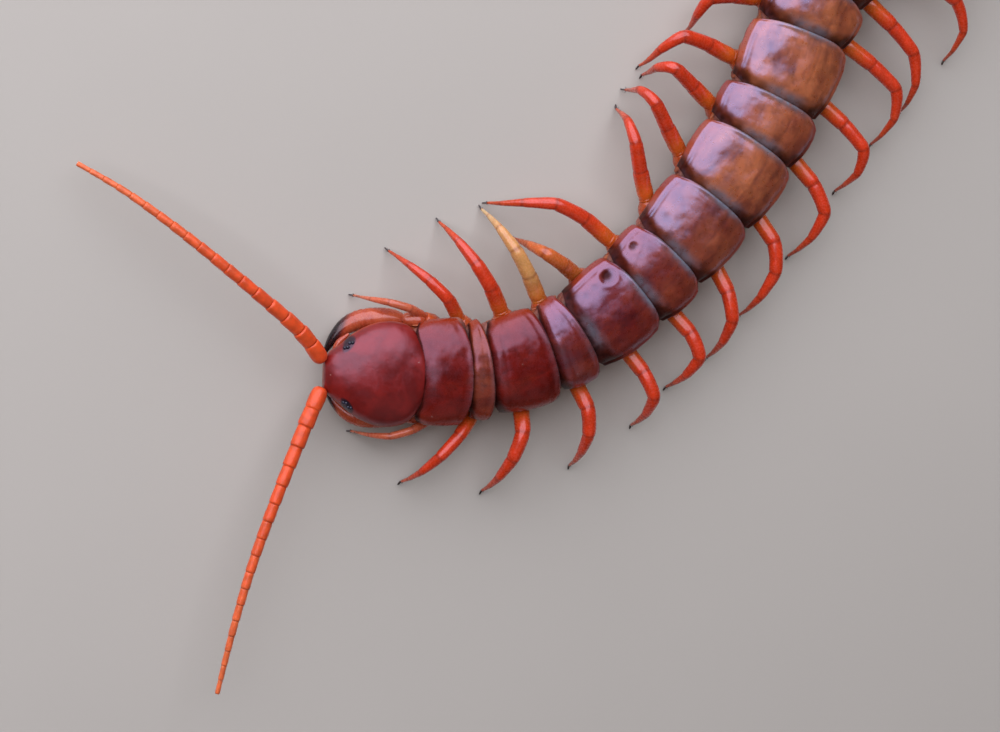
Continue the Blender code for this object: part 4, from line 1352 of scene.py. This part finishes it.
class CENTIPEDE_OT_flank_shields(bpy.types.Operator):
    """Builds the small hard shields and the breathing holes on the flanks"""

    bl_idname = "centipede.flank_shields"
    bl_label = "Flank shields"

    def execute(self, context):
        shields, rims, holes = [], [], []
        for plate in range(1, len(PLATES)):
            for side_name in SIDES:
                for behind, up, size in FLANK_SHIELDS:
                    shields.append(flank_spot(plate, side_name, behind, up, size))
                if plate in BREATHING:
                    rims.append(flank_spot(plate, side_name, *BREATHING_RIM))
                    holes.append(flank_spot(plate, side_name, *BREATHING_HOLE))
        tree = tree_named("Shields", shield_tree)
        # The breathing holes are black lenses: painted shade inside the openings
        for name, spots, finish, slot in (
            ("flank_shields", shields, "flank_shield", "leg"), ("breathing_rims", rims, "flank_shield", "leg"),
            ("breathing_holes", holes, "claw_horn", "claw"),
        ):
            material = finish_named(finish)
            made = grown(name, spots_object(name + "_spots", spots), tree, Material=material)
            finish_piece(made, material, slot)
        return {"FINISHED"}


def flank_row(plate, share):
    """A ring of points round the soft body at a share of a plate's length."""
    length, half_width = PLATES[plate - 1]
    last = plate == len(PLATES)
    wide = float(through(LAST_WIDTHS if last else WIDTHS, share)) * half_width * (1.0 + min(share, 0.0) * 0.6)
    pinch = 1.0 - 0.05 * math.cos(2 * math.pi * share) ** 8
    outline = flank_outline(FLANK_TOP - (1.6 * max(share - 0.5, 0.0) if last else 0.0))
    reach = shares_along([(x * wide, z, 0.0) for x, z in outline])
    around = np.linspace(0.0, 1.0, FLANK_COLUMNS)
    x = np.interp(around, reach, outline[:, 0]) * wide * pinch
    z = np.interp(around, reach, outline[:, 1])
    return on_body(plate, share * length, np.concatenate([x, -x[-2:0:-1]]), np.concatenate([z, z[-2:0:-1]]))


def folded(points):
    """The soft body's points, with folds on its sides."""
    side = ramp(6.6 - points[..., 2], 0.0, 0.8) * ramp(points[..., 2], 2.4, 3.2)
    away = points - points.mean(axis=1, keepdims=True)
    away[..., 2] = 0.0
    away /= np.maximum(np.linalg.norm(away, axis=-1, keepdims=True), 1e-6)
    fold = 0.6 * waves(points * (1.0, 1.0, 0.6), 1.1) + 0.4 * waves(points, 0.5, 9.0)
    return points + away * (FOLD_HEIGHT * fold * side)[..., None]


class CENTIPEDE_OT_flanks(bpy.types.Operator):
    """Builds the soft body that shows on the flanks and between the plates"""

    bl_idname = "centipede.flanks"
    bl_label = "Flanks"

    def execute(self, context):
        rows = []
        for plate in range(1, len(PLATES) + 1):
            steps = int(PLATES[plate - 1][0] / FLANK_STEP)
            shares = np.arange(0.0 if plate > 1 else FLANK_START, 1.0, 1.0 / steps)
            if plate == len(PLATES):
                shares = np.append(shares, FLANK_END)
            rows += [flank_row(plate, share) for share in shares]
        obj = closed_tube("soft_body", folded(np.array(rows)))
        trunks = [f"trunk_{number}" for number in range(1, 8)]
        finish_piece(obj, finish_named("membrane"), "shell", *trunks)
        return {"FINISHED"}


# ---- legs


def stance(leg, side_name):
    """Knee out and ahead, foot out and ahead, of one leg."""
    seen = STANCES[side_name]
    if leg <= len(seen):
        return seen[leg - 1]
    share = (leg - NEXT_STRIDE) % STRIDE_LEGS / (STRIDE_LEGS - 1)
    ahead, knee_out, foot_out = (
        first + share * (last - first) for first, last in (STRIDE, STRIDE_KNEES_OUT, STRIDE_FEET_OUT)
    )
    return knee_out, KNEE_FOLLOWS * ahead - KNEE_OFFSET, foot_out, ahead


def leg_course(leg, side_name, steps=20):
    """Root, its direction, and the points of a leg down to the top of its foot, in the frame of the model."""
    side = SIDES[side_name]
    knee_out, knee_ahead, foot_out, foot_ahead = stance(leg, side_name)
    root_out = FLANK_WIDTH * PLATES[leg - 1][1] + ROOT_BEYOND_FLANK
    root = Vector((side * root_out, 0.0, ROOT_Z))
    thigh_plan = math.hypot(knee_out - root_out, knee_ahead)
    shin_plan = math.hypot(foot_out - knee_out, foot_ahead - knee_ahead)
    slack = LEG_LENGTHS[min(leg, len(LEG_LENGTHS)) - 1] - thigh_plan - shin_plan
    knee = Vector((side * knee_out, -knee_ahead, KNEE_Z + KNEE_RISE * slack))
    foot = Vector((side * foot_out, -foot_ahead, FOOT_STEM))
    aim = ((knee - root).normalized() + Vector((side * ROOT_OUTWARD, 0.0, 0.0))).normalized()
    start = root + aim * GAP
    bend = (foot - root) / 2
    bend.z *= KNEE_BEND_RISE
    shin = foot - knee
    fall = Vector((shin.x * FOOT_FALL[0], shin.y * FOOT_FALL[0], shin.length * FOOT_FALL[1]))
    leave = aim * (knee - start).length
    points = [hermite(start, knee, leave, bend, i / steps) for i in range(steps)]
    points += [hermite(knee, foot, bend, fall, i / steps) for i in range(steps + 1)]
    shares = ROOT_SHARES[side_name]
    floor, turn = stand(leg, shares[min(leg, len(shares)) - 1])
    return floor + turn @ root, turn @ aim, [floor + turn @ point for point in points]


def jointed(points, radii_at, joints, girths, rings=11, straightness=LEG_STRAIGHTNESS):
    """A path of straight-sided lengths with a neck at each joint, as points and their values."""
    shares, swells, ring = [], [], []
    for first, after in zip(joints, joints[1:]):
        local = np.linspace(0.0, 1.0, rings)
        local = 0.5 * local + 0.5 * (0.5 - 0.5 * np.cos(np.pi * local))
        shares.append(first + (after - first) * local[:-1])
        swells.append(through(SWELL, local[:-1]))
        near = np.minimum(local[:-1], 1.0 - local[:-1]) * (after - first)
        ring.append(hump(near, 0.008))
    shares = np.concatenate(shares + [[joints[-1]]])
    swells = np.concatenate(swells + [[SWELL[-1][1]]])
    ring = np.concatenate(ring + [[1.0]])
    smooth = at_shares(points, shares)
    corners = at_shares(points, joints)
    straight = np.stack([np.interp(shares, joints, corners[:, axis]) for axis in range(3)], axis=-1)
    centre = smooth + (straight - smooth) * straightness
    girth = np.interp(shares, radii_at, girths) * swells
    return centre, {"girth": girth * MM, "along": shares, "ring": ring}


def leg_skin(leg, side_name):
    """Names of a leg's finish and slot."""
    if (leg, side_name) == (4, "right"):
        return "amber_cuticle", "amber_leg"
    if (leg, side_name) == (5, "right"):
        return "orange_cuticle", "leg"
    return "salmon_cuticle" if leg == 1 else "leg_cuticle", "leg"


def build_leg(leg, side_name, context):
    """One leg's skin. Gives back its centre line."""
    root, aim, points = leg_course(leg, side_name)
    girth = LEG_GIRTHS[min(leg, len(LEG_GIRTHS)) - 1]
    radii = [max(girth * radius, LEG_RADII[-1]) for radius in LEG_RADII]
    centre, values = jointed([root - aim * ROOT_DEPTH] + points, spaced(radii), LEG_JOINTS, radii)
    finish, slot = leg_skin(leg, side_name)
    material = finish_named(finish)
    name = f"leg_{side_name}_{leg:02d}"
    obj = swept(name + "_skin", [(centre, values)], context.scene.centipede_legs.sides, material)
    finish_piece(obj, material, slot, name)
    return centre


class CENTIPEDE_OT_legs(bpy.types.Operator):
    """Builds the 20 pairs of walking legs with their hips, claws and spurs"""

    bl_idname = "centipede.legs"
    bl_label = "Walking legs"

    def execute(self, context):
        legs = context.scene.centipede_legs
        hips, claws = [], []
        for side_name in SIDES:
            for leg in range(1, len(PLATES)):
                centre = build_leg(leg, side_name, context)
                root, aim, _ = leg_course(leg, side_name)
                hips.append(hip_path(root, aim, HIP_CONE, FIRST_COXA_GIRTH if leg == 1 else 1.0))
                claws += foot_claws(centre, legs.claw_length / MM)
        hip_skin = finish_named("hip")
        finish_piece(swept("hips", hips, 24, hip_skin), hip_skin, "leg")
        horn = finish_named("claw_horn")
        tree = tree_named("Claws", claw_tree)
        made = grown("leg_claws", spots_object("claw_spots", claws), tree, Bend=1.4, Material=horn)
        finish_piece(made, horn, "claw")
        return {"FINISHED"}


def hip_path(root, aim, cone, girth=1.0):
    """The short cone that carries a leg, round its root."""
    ways, radii, ring = np.array(cone).T
    values = {"girth": radii * girth * MM, "along": np.linspace(0.0, 0.2, len(cone)), "ring": ring}
    return [root + aim * way for way in ways], values


def foot_claws(centre, length):
    """The claw that stands on the floor at the end of a leg, its two small side claws and the spur above it."""
    up = Vector((0.0, 0.0, 1.0))
    tip, before = Vector(centre[-1]), Vector(centre[-3])
    aim = (tip - before).normalized()
    landing = Vector((tip.x, tip.y, 0.0)) + Vector((aim.x, aim.y, 0.0)) * CLAW_AHEAD
    reach = landing - tip
    side = aim.cross(up).normalized()
    back = Vector((aim.x, aim.y, 0.35)).normalized()
    main = {"aim": reach.normalized(), "back": back, "length": reach.length * MM, "girth": CLAW_GIRTH * MM}
    spots = [(tip, main)]
    for turn in (-1.0, 1.0):
        values = {"aim": (aim + side * turn * 0.5).normalized(), "back": back}
        values.update(length=SIDE_CLAW[0] * length * MM, girth=SIDE_CLAW[1] * MM)
        spots.append((tip - aim * 0.2 + side * turn * 0.1, values))
    knuckle, before = Vector(centre[-SPUR_RING]), Vector(centre[-SPUR_RING - 2])
    down = ((knuckle - before).normalized() - up * 0.6).normalized()
    values = {"aim": down, "back": back, "length": SPUR[0] * length * MM, "girth": SPUR[1] * MM}
    return spots + [(knuckle - up * 0.28, values)]


class CENTIPEDE_OT_last_legs(bpy.types.Operator):
    """Builds the last pair of legs, trailed behind the body, with their spines"""

    bl_idname = "centipede.last_legs"
    bl_label = "Last legs"

    def execute(self, context):
        skin, horn, hip_skin = finish_named("leg_cuticle"), finish_named("claw_horn"), finish_named("hip")
        hips, spines = [], []
        for side_name, side in SIDES.items():
            knots = [beside(len(PLATES), 1.0, side, point) for point in LAST_LEG_POINTS]
            aim = (knots[1] - knots[0]).normalized()
            path = [knots[0] - aim * ROOT_DEPTH] + smooth_path(knots, 8)
            centre, values = jointed(path, spaced(LAST_LEG_RADII), LAST_LEG_JOINTS, LAST_LEG_RADII, 13)
            name = f"leg_{side_name}_21"
            finish_piece(swept(name + "_skin", [(centre, values)], 26, skin), skin, "leg", name)
            spines += foot_claws(centre, context.scene.centipede_legs.claw_length / MM)[:3]
            spines += thigh_spines(centre, values["girth"] / MM, side)
            hips.append(hip_path(knots[0], aim, LAST_HIP_CONE))
        finish_piece(swept("last_hips", hips, 28, hip_skin), hip_skin, "leg")
        tree = tree_named("Claws", claw_tree)
        made = grown("last_leg_spines", spots_object("spine_spots", spines), tree, Bend=0.4, Material=horn)
        finish_piece(made, horn, "claw")
        return {"FINISHED"}


def thigh_spines(centre, girth, side):
    """Short spines on the inner and lower faces of a last leg's thigh."""
    spots = []
    for index, row in THIGH_SPINES:
        place = Vector(centre[index])
        aim = (Vector(centre[index + 1]) - place).normalized()
        inward = aim.cross(Vector((0.0, 0.0, 1.0))).normalized() * -side
        for angle in row:
            out = (inward * math.cos(angle) + Vector((0.0, 0.0, 1.0)) * math.sin(angle)).normalized()
            spots.append((place + out * girth[index] * 0.95, {
                "aim": (out + aim * 0.8).normalized(), "back": aim, "length": THIGH_SPINE[0] * MM,
                "girth": THIGH_SPINE[1] * MM,
            }))
    return spots


# ---- head


def on_neck(side, place):
    """A point (out, ahead, up) from the front of the head, in line with the neck."""
    turn = Matrix.Rotation(math.radians(COURSE[0]), 3, "Z")
    return JOINTS[0] + turn @ Vector((side * place[0], -place[1], place[2]))


def turned_back(points):
    """Points set out round the head shield, turned back in line with the neck."""
    turn = np.array(Matrix.Rotation(math.radians(-HEAD_TURN), 3, "Z"))
    return np.array(JOINTS[0]) + (points - np.array(JOINTS[0])) @ turn.T


def head_surface(behind, angle):
    """Across and up on the head shield, at so many millimetres behind its front and an angle from its crown."""
    half = through(HEAD_RINGS, behind, 1)
    crown, rim = through(HEAD_RINGS, behind, 2), through(HEAD_RINGS, behind, 3)
    power = 2 / 2.25
    across = half * np.sign(np.sin(angle)) * np.abs(np.sin(angle)) ** power
    up = rim + (crown - rim) * np.abs(np.cos(angle)) ** power
    return across, up


def head_row(behind, angle):
    """A ring of points round the head, and how dark and how rim-coloured each is."""
    across, up = head_surface(behind, angle)
    bow = HEAD_BOW * (np.abs(across) / 7.0) ** 2.5 * np.clip(behind / HEAD_HIND, 0.0, 1.0) ** 4
    half, rim = float(through(HEAD_RINGS, behind, 1)), float(through(HEAD_RINGS, behind, 3))
    under = min(HEAD_UNDER_HALF, 0.88 * half)
    low = min(HEAD_UNDER_Z, rim - 0.3)
    tuck = np.array((
        (0.995 * half, rim - 0.14), (0.97 * half, rim - 0.26), (0.93 * half, rim - 0.34),
        (0.5 * (0.93 * half + under), rim - 0.42), (under, rim - 0.6), (0.98 * under, low + 0.15),
        (0.92 * under, low), (0.7 * under, low - 0.05), (0.35 * under, low - 0.06), (0.0, low - 0.06),
    ))
    x = np.concatenate([across, tuck[:, 0], -tuck[-2::-1, 0]])
    z = np.concatenate([up, tuck[:, 1], tuck[-2::-1, 1]])
    y = np.concatenate([behind - bow, np.full(len(x) - len(up), behind - bow[-1])])
    out, back = np.abs(x) - EYE_PLACE[0], y - EYE_PLACE[1]
    far = np.hypot((out * 0.8 + back * 0.6) / EYE_PATCH[0], (out * 0.6 - back * 0.8) / EYE_PATCH[1])
    pigment = np.clip(4.2 - 3.8 * far, 0.0, 1.0) * (z > rim + 0.05)
    edge = np.concatenate([ramp(np.abs(np.degrees(angle)), 82.0, 90.0), np.ones(len(x) - len(up))])
    return on_body(0, y, x, z), pigment, edge


class CENTIPEDE_OT_head_shield(bpy.types.Operator):
    """Builds the head: its domed shield, turned-under rim and underside"""

    bl_idname = "centipede.head_shield"
    bl_label = "Head"

    def execute(self, context):
        angle = np.linspace(-np.pi / 2, np.pi / 2, 97)
        tip = 0.5 * np.linspace(0.0, 1.0, 14)[:-1] ** 2
        ways = np.arange(0.5, HEAD_HIND - HEAD_STEP, HEAD_STEP)
        ways = np.concatenate([tip, ways, [HEAD_HIND - 0.12, HEAD_HIND]])
        points, pigment, rim = (np.array(rows) for rows in zip(*(head_row(behind, angle) for behind in ways)))
        swell = 0.06 * waves(points, 3.4, 5.0) + 0.02 * waves(points, 1.1, 8.0)
        points[..., 2] += swell * (1.0 - rim)
        obj = closed_tube("head_skin", points, {"pigment": pigment, "rim": rim})
        finish_piece(obj, finish_named("head_shell"), "head_shield", "head")
        return {"FINISHED"}


class CENTIPEDE_OT_eyes(bpy.types.Operator):
    """Builds the four lenses on each side of the head"""

    bl_idname = "centipede.eyes"
    bl_label = "Eyes"

    def execute(self, context):
        radius = context.scene.centipede_head.eye_radius / MM
        bm = bmesh.new()
        bmesh.ops.create_uvsphere(bm, u_segments=20, v_segments=12, radius=1.0)
        lens = [vert.co * radius for vert in bm.verts]
        rings = [[vert.index for vert in face.verts] for face in bm.faces]
        bm.free()
        for side_name, side in SIDES.items():
            vertices, faces = [], []
            for behind, degrees in EYE_LENSES:
                across, up = head_surface(behind, math.radians(degrees))
                centre = beside(0, 0.0, side, (float(across), -behind, float(up)))
                faces += [[len(vertices) + index for index in ring] for ring in rings]
                vertices += [centre + place for place in lens]
            obj = new_piece(f"eye_lenses_{side_name}", vertices, faces)
            finish_piece(obj, finish_named("eye_lens"), "eye", f"eye_{side_name}")
        return {"FINISHED"}


def antenna_articles(places, borders):
    """The spots of an antenna's articles but the first, and the girth of the core inside each."""
    spots, core = [], []
    for i in range(1, len(borders) - 1):
        start, end = Vector(places[i]), Vector(places[i + 1])
        middle = float(borders[i] + borders[i + 1]) / 2
        girth = float(through(ANTENNA_RADII, middle))
        spots.append((start, {
            "aim": (end - start).normalized(), "girth": girth * MM, "length": (end - start).length * 0.99 * MM,
            "along": middle, "hairy": 1.0 if i >= FIRST_HAIRY else 0.05,
        }))
        core.append(girth * CORE_GIRTH * MM)
    return spots, core


class CENTIPEDE_OT_antennae(bpy.types.Operator):
    """Builds both antennae from articles, with fine bristles on the outer ones"""

    bl_idname = "centipede.antennae"
    bl_label = "Antennae"

    def execute(self, context):
        head = context.scene.centipede_head
        material = finish_named("antenna_cuticle")
        count = head.articles
        sizes = np.interp(np.arange(count), (*ARTICLE_PLACES, count - 1), ARTICLE_LENGTHS)
        borders = np.concatenate([[0.0], np.cumsum(sizes)]) / sizes.sum()
        ways, radii = np.array(ANTENNA_BASE).T
        bulb = {"girth": radii * MM, "along": 0.0 * radii}
        for side_name, side in SIDES.items():
            path = smooth_path([on_neck(side, place) for place in ANTENNA_POINTS[side_name]], 12)
            places = at_shares(path, borders)
            spots, core = antenna_articles(places, borders)
            name = f"antenna_{side_name}"
            obj = grown(
                name + "_skin", spots_object("article_spots", spots), tree_named("Articles", article_tree),
                Material=material,
            )
            bristles = grown(
                name + "_bristles", linked(name + "_scalp", obj.data.copy()), tree_named("Bristles", bristle_tree),
                Length=head.bristle_length, Material=material,
            )
            finish_piece(obj, material, "antenna", name)
            finish_piece(bristles, material, "antenna")
            inner = {"girth": np.array(core + [core[-1] * 0.5]), "along": borders[1:]}
            start, aim = Vector(places[1]), Vector(places[1] - places[0]).normalized()
            base = [start - aim * way for way in ways]
            necks = swept(name + "_necks", [(places[1:], inner), (base, bulb)], 28, material)
            finish_piece(necks, material, "antenna")
        return {"FINISHED"}


class CENTIPEDE_OT_poison_claws(bpy.types.Operator):
    """Builds the two poison claws and the plate under the head that carries them"""

    bl_idname = "centipede.poison_claws"
    bl_label = "Poison claws"

    def execute(self, context):
        material = finish_named("poison_claw")
        for side_name, side in SIDES.items():
            path = smooth_path([on_neck(side, place) for place in FORCIPULE_POINTS], 12)
            reach = shares_along(path)
            ring = sum(hump(reach - joint, 0.012) for joint in FORCIPULE_JOINTS)
            girth = through(list(zip(spaced(FORCIPULE_RADII), FORCIPULE_RADII)), spaced(path))
            girth = girth * FANG_GIRTHS[side_name]
            girth = girth * (1.0 - 0.05 * ring) * np.clip(reach / 0.03 + 0.35, 0.0, 1.0) ** 0.5
            lobe = smooth_path([on_neck(side, place) for place in FANG_ROOT], 6)
            lobe_reach = shares_along(lobe)
            lobe_girth = np.interp(lobe_reach, spaced(FANG_ROOT_RADII), FANG_ROOT_RADII)
            name = f"forcipule_{side_name}"
            paths = [(path, {"girth": girth * MM}), (lobe, {"girth": lobe_girth * MM})]
            obj = swept(name + "_skin", paths, 28, material)
            darken_fang(obj, path, reach, girth, FANG_DARK_FROM[side_name])
            finish_piece(obj, material, "claw", name)
        finish_piece(shield_plate(), material, "claw", "coxosternite")
        return {"FINISHED"}


def darken_fang(obj, path, reach, girth, start):
    """Sets how dark a poison claw is: black beyond a share of its length, and further back on its outer edge."""
    points = np.array([vertex.co[:] for vertex in obj.data.vertices]) / MM
    path = np.array(path)
    nearest = np.linalg.norm(points[:, None] - path[None], axis=2).argmin(axis=1)
    middle = np.array(on_neck(1, FANG_MIDDLE))
    away = path[nearest] - middle
    away[:, 2] = 0.0
    away /= np.linalg.norm(away, axis=1, keepdims=True)
    outer = ((points - path[nearest]) * away).sum(axis=1) / girth[nearest]
    dark = np.clip((reach[nearest] - start + FANG_EDGE * outer) / 0.2, 0.0, 1.0)
    obj.data.attributes.new("dark", "FLOAT", "POINT").data.foreach_set("value", dark.astype(np.float32))


def shield_plate():
    """The plate that carries the poison claws, with its two toothed lobes in front."""
    s = np.linspace(0.0, 1.0, 34)[:, None]
    t = np.linspace(-1.0, 1.0, 41)[None, :]
    lobe = 0.75 * hump(np.abs(t) - 0.24, 0.16)
    teeth = 0.16 * np.abs(np.sin(np.abs(t) * 26.0)) * (np.abs(t) < TOOTH_BAND[1]) * (np.abs(t) > TOOTH_BAND[0])
    front = SHIELD_FRONT - lobe - teeth * (1.0 - s) ** 3
    hind = SHIELD_HIND - 0.5 * np.abs(t) ** 3
    behind = front + (hind - front) * s
    across = SHIELD_HALF * t * (0.82 + 0.18 * np.sin(np.pi * np.clip(0.25 + 0.75 * s, 0, 1)))
    bulge = (1.0 - np.abs(t) ** 3) ** 0.6 * np.sin(np.pi * np.clip(0.1 + 0.85 * s, 0.0, 1.0)) ** 0.5
    low = SHIELD_LOW - 0.9 * bulge
    high = SHIELD_HIGH + 0.8 * bulge
    groove = 0.12 * hump(t, 0.03) * np.ones(low.shape)
    lower = turned_back(on_body(0, behind, across, low + groove))
    upper = turned_back(on_body(0, behind, across, high))
    points = np.concatenate([lower, upper[:, ::-1]], axis=1)
    dark = np.concatenate([np.clip(1.0 - s * 9.0, 0.0, 1.0) * (np.abs(t) < TOOTH_BAND[1])] * 2, axis=1) * 0.9
    return closed_tube("poison_claw_plate", points, {"dark": dark})


class CENTIPEDE_OT_mouthparts(bpy.types.Operator):
    """Builds the jaws and feelers under the front of the head"""

    bl_idname = "centipede.mouthparts"
    bl_label = "Mouthparts"

    def execute(self, context):
        material = finish_named("poison_claw")
        paths = []
        for side in SIDES.values():
            path = smooth_path([on_neck(side, place) for place in PALP_POINTS], 8)
            centre, values = jointed(path, spaced(PALP_RADII), PALP_JOINTS, PALP_RADII, 12, 0.2)
            values["dark"] = 0.25 * values["ring"]
            paths.append((centre, values))
            for places, radii in MAXILLAE:
                path = smooth_path([on_neck(side, place) for place in places], 6)
                reach = shares_along(path)
                girth = np.interp(reach, spaced(radii), radii) * MM
                paths.append((path, {"girth": girth, "along": reach, "ring": reach * 0, "dark": reach * 0}))
        obj = swept("mouth", paths, 18, material)
        finish_piece(obj, material, "claw", "mouthparts")
        return {"FINISHED"}


# ---- stage


class CENTIPEDE_OT_stage(bpy.types.Operator):
    """Lays the floor and sets the lights and the camera"""

    bl_idname = "centipede.stage"
    bl_label = "Stage"

    def execute(self, context):
        stage = context.scene.centipede_stage
        half = stage.floor_size / 2 / MM
        corners = [(-half, -half, 0), (half, -half, 0), (half, half, 0), (-half, half, 0)]
        floor = new_piece("floor", corners, [(0, 1, 2, 3)])
        floor.data.materials.append(finish_named("plain_floor"))
        world = bpy.data.worlds.new("studio")
        world.use_nodes = True
        background = world.node_tree.nodes["Background"]
        background.inputs["Color"].default_value = WORLD_COLOUR
        background.inputs["Strength"].default_value = WORLD_STRENGTH
        context.scene.world = world
        context.scene.view_settings.view_transform = "Standard"
        panel_light("sky_light", *SKY_LIGHT, stage.key_power)
        panel_light("fill_light", *FILL_LIGHT, stage.fill_power)
        self.add_camera(context, stage.lens)
        return {"FINISHED"}

    def add_camera(self, context, lens):
        data = bpy.data.cameras.new("camera")
        data.lens = lens
        data.sensor_width = 36.0
        data.clip_start = 0.01
        camera = bpy.data.objects.new("camera", data)
        context.scene.collection.objects.link(camera)
        back = (Vector(CAMERA_PLACE) - Vector(CAMERA_TARGET)).normalized()
        right = Vector(CAMERA_UP).cross(back).normalized()
        turn = Matrix((right, back.cross(right), back)).transposed()
        camera.matrix_world = Matrix.Translation(Vector(CAMERA_PLACE) * MM) @ turn.to_4x4()
        context.scene.camera = camera


def panel_light(name, place, size, colour, power):
    """A rectangular soft light that looks at what the camera looks at, and isn't seen itself."""
    data = bpy.data.lights.new(name, "AREA")
    data.shape = "RECTANGLE"
    data.size, data.size_y = size
    data.color = colour
    data.energy = power
    light = bpy.data.objects.new(name, data)
    bpy.context.scene.collection.objects.link(light)
    aim = (Vector(CAMERA_TARGET) - Vector(place)).to_track_quat("-Z", "Y")
    light.matrix_world = Matrix.Translation(Vector(place) * MM) @ aim.to_matrix().to_4x4()
    light.visible_camera = False
    return light


class CENTIPEDE_PT_panel(bpy.types.Panel):
    """Lists the steps and settings of the centipede"""

    bl_label = "Giant centipede"
    bl_idname = "CENTIPEDE_PT_panel"
    bl_space_type = "VIEW_3D"
    bl_region_type = "UI"
    bl_category = "Centipede"

    def draw(self, context):
        for operator in OPERATORS:
            self.layout.operator(operator.bl_idname)
        for label in SETTINGS:
            box = self.layout.box()
            group = getattr(context.scene, label)
            for name in group.bl_rna.properties.keys():
                if name not in ("rna_type", "name"):
                    box.prop(group, name)


SETTINGS = {
    "centipede_shell": CentipedeShell,
    "centipede_head": CentipedeHead,
    "centipede_legs": CentipedeLegs,
    "centipede_stage": CentipedeStage,
}
OPERATORS = (
    CENTIPEDE_OT_stage,
    CENTIPEDE_OT_flanks,
    CENTIPEDE_OT_flank_shields,
    CENTIPEDE_OT_back_plates,
    CENTIPEDE_OT_belly_plates,
    CENTIPEDE_OT_head_shield,
    CENTIPEDE_OT_eyes,
    CENTIPEDE_OT_antennae,
    CENTIPEDE_OT_poison_claws,
    CENTIPEDE_OT_mouthparts,
    CENTIPEDE_OT_legs,
    CENTIPEDE_OT_last_legs,
)


def register():
    for made in (*SETTINGS.values(), *OPERATORS, CENTIPEDE_PT_panel):
        bpy.utils.register_class(made)
    for label, group in SETTINGS.items():
        setattr(bpy.types.Scene, label, PointerProperty(type=group))


def unregister():
    for label in SETTINGS:
        delattr(bpy.types.Scene, label)
    for made in reversed((*SETTINGS.values(), *OPERATORS, CENTIPEDE_PT_panel)):
        bpy.utils.unregister_class(made)


def main():
    register()
    for operator in OPERATORS:
        getattr(bpy.ops.centipede, operator.bl_idname.split(".")[1])()
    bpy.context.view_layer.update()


if __name__ == "__main__":
    main()
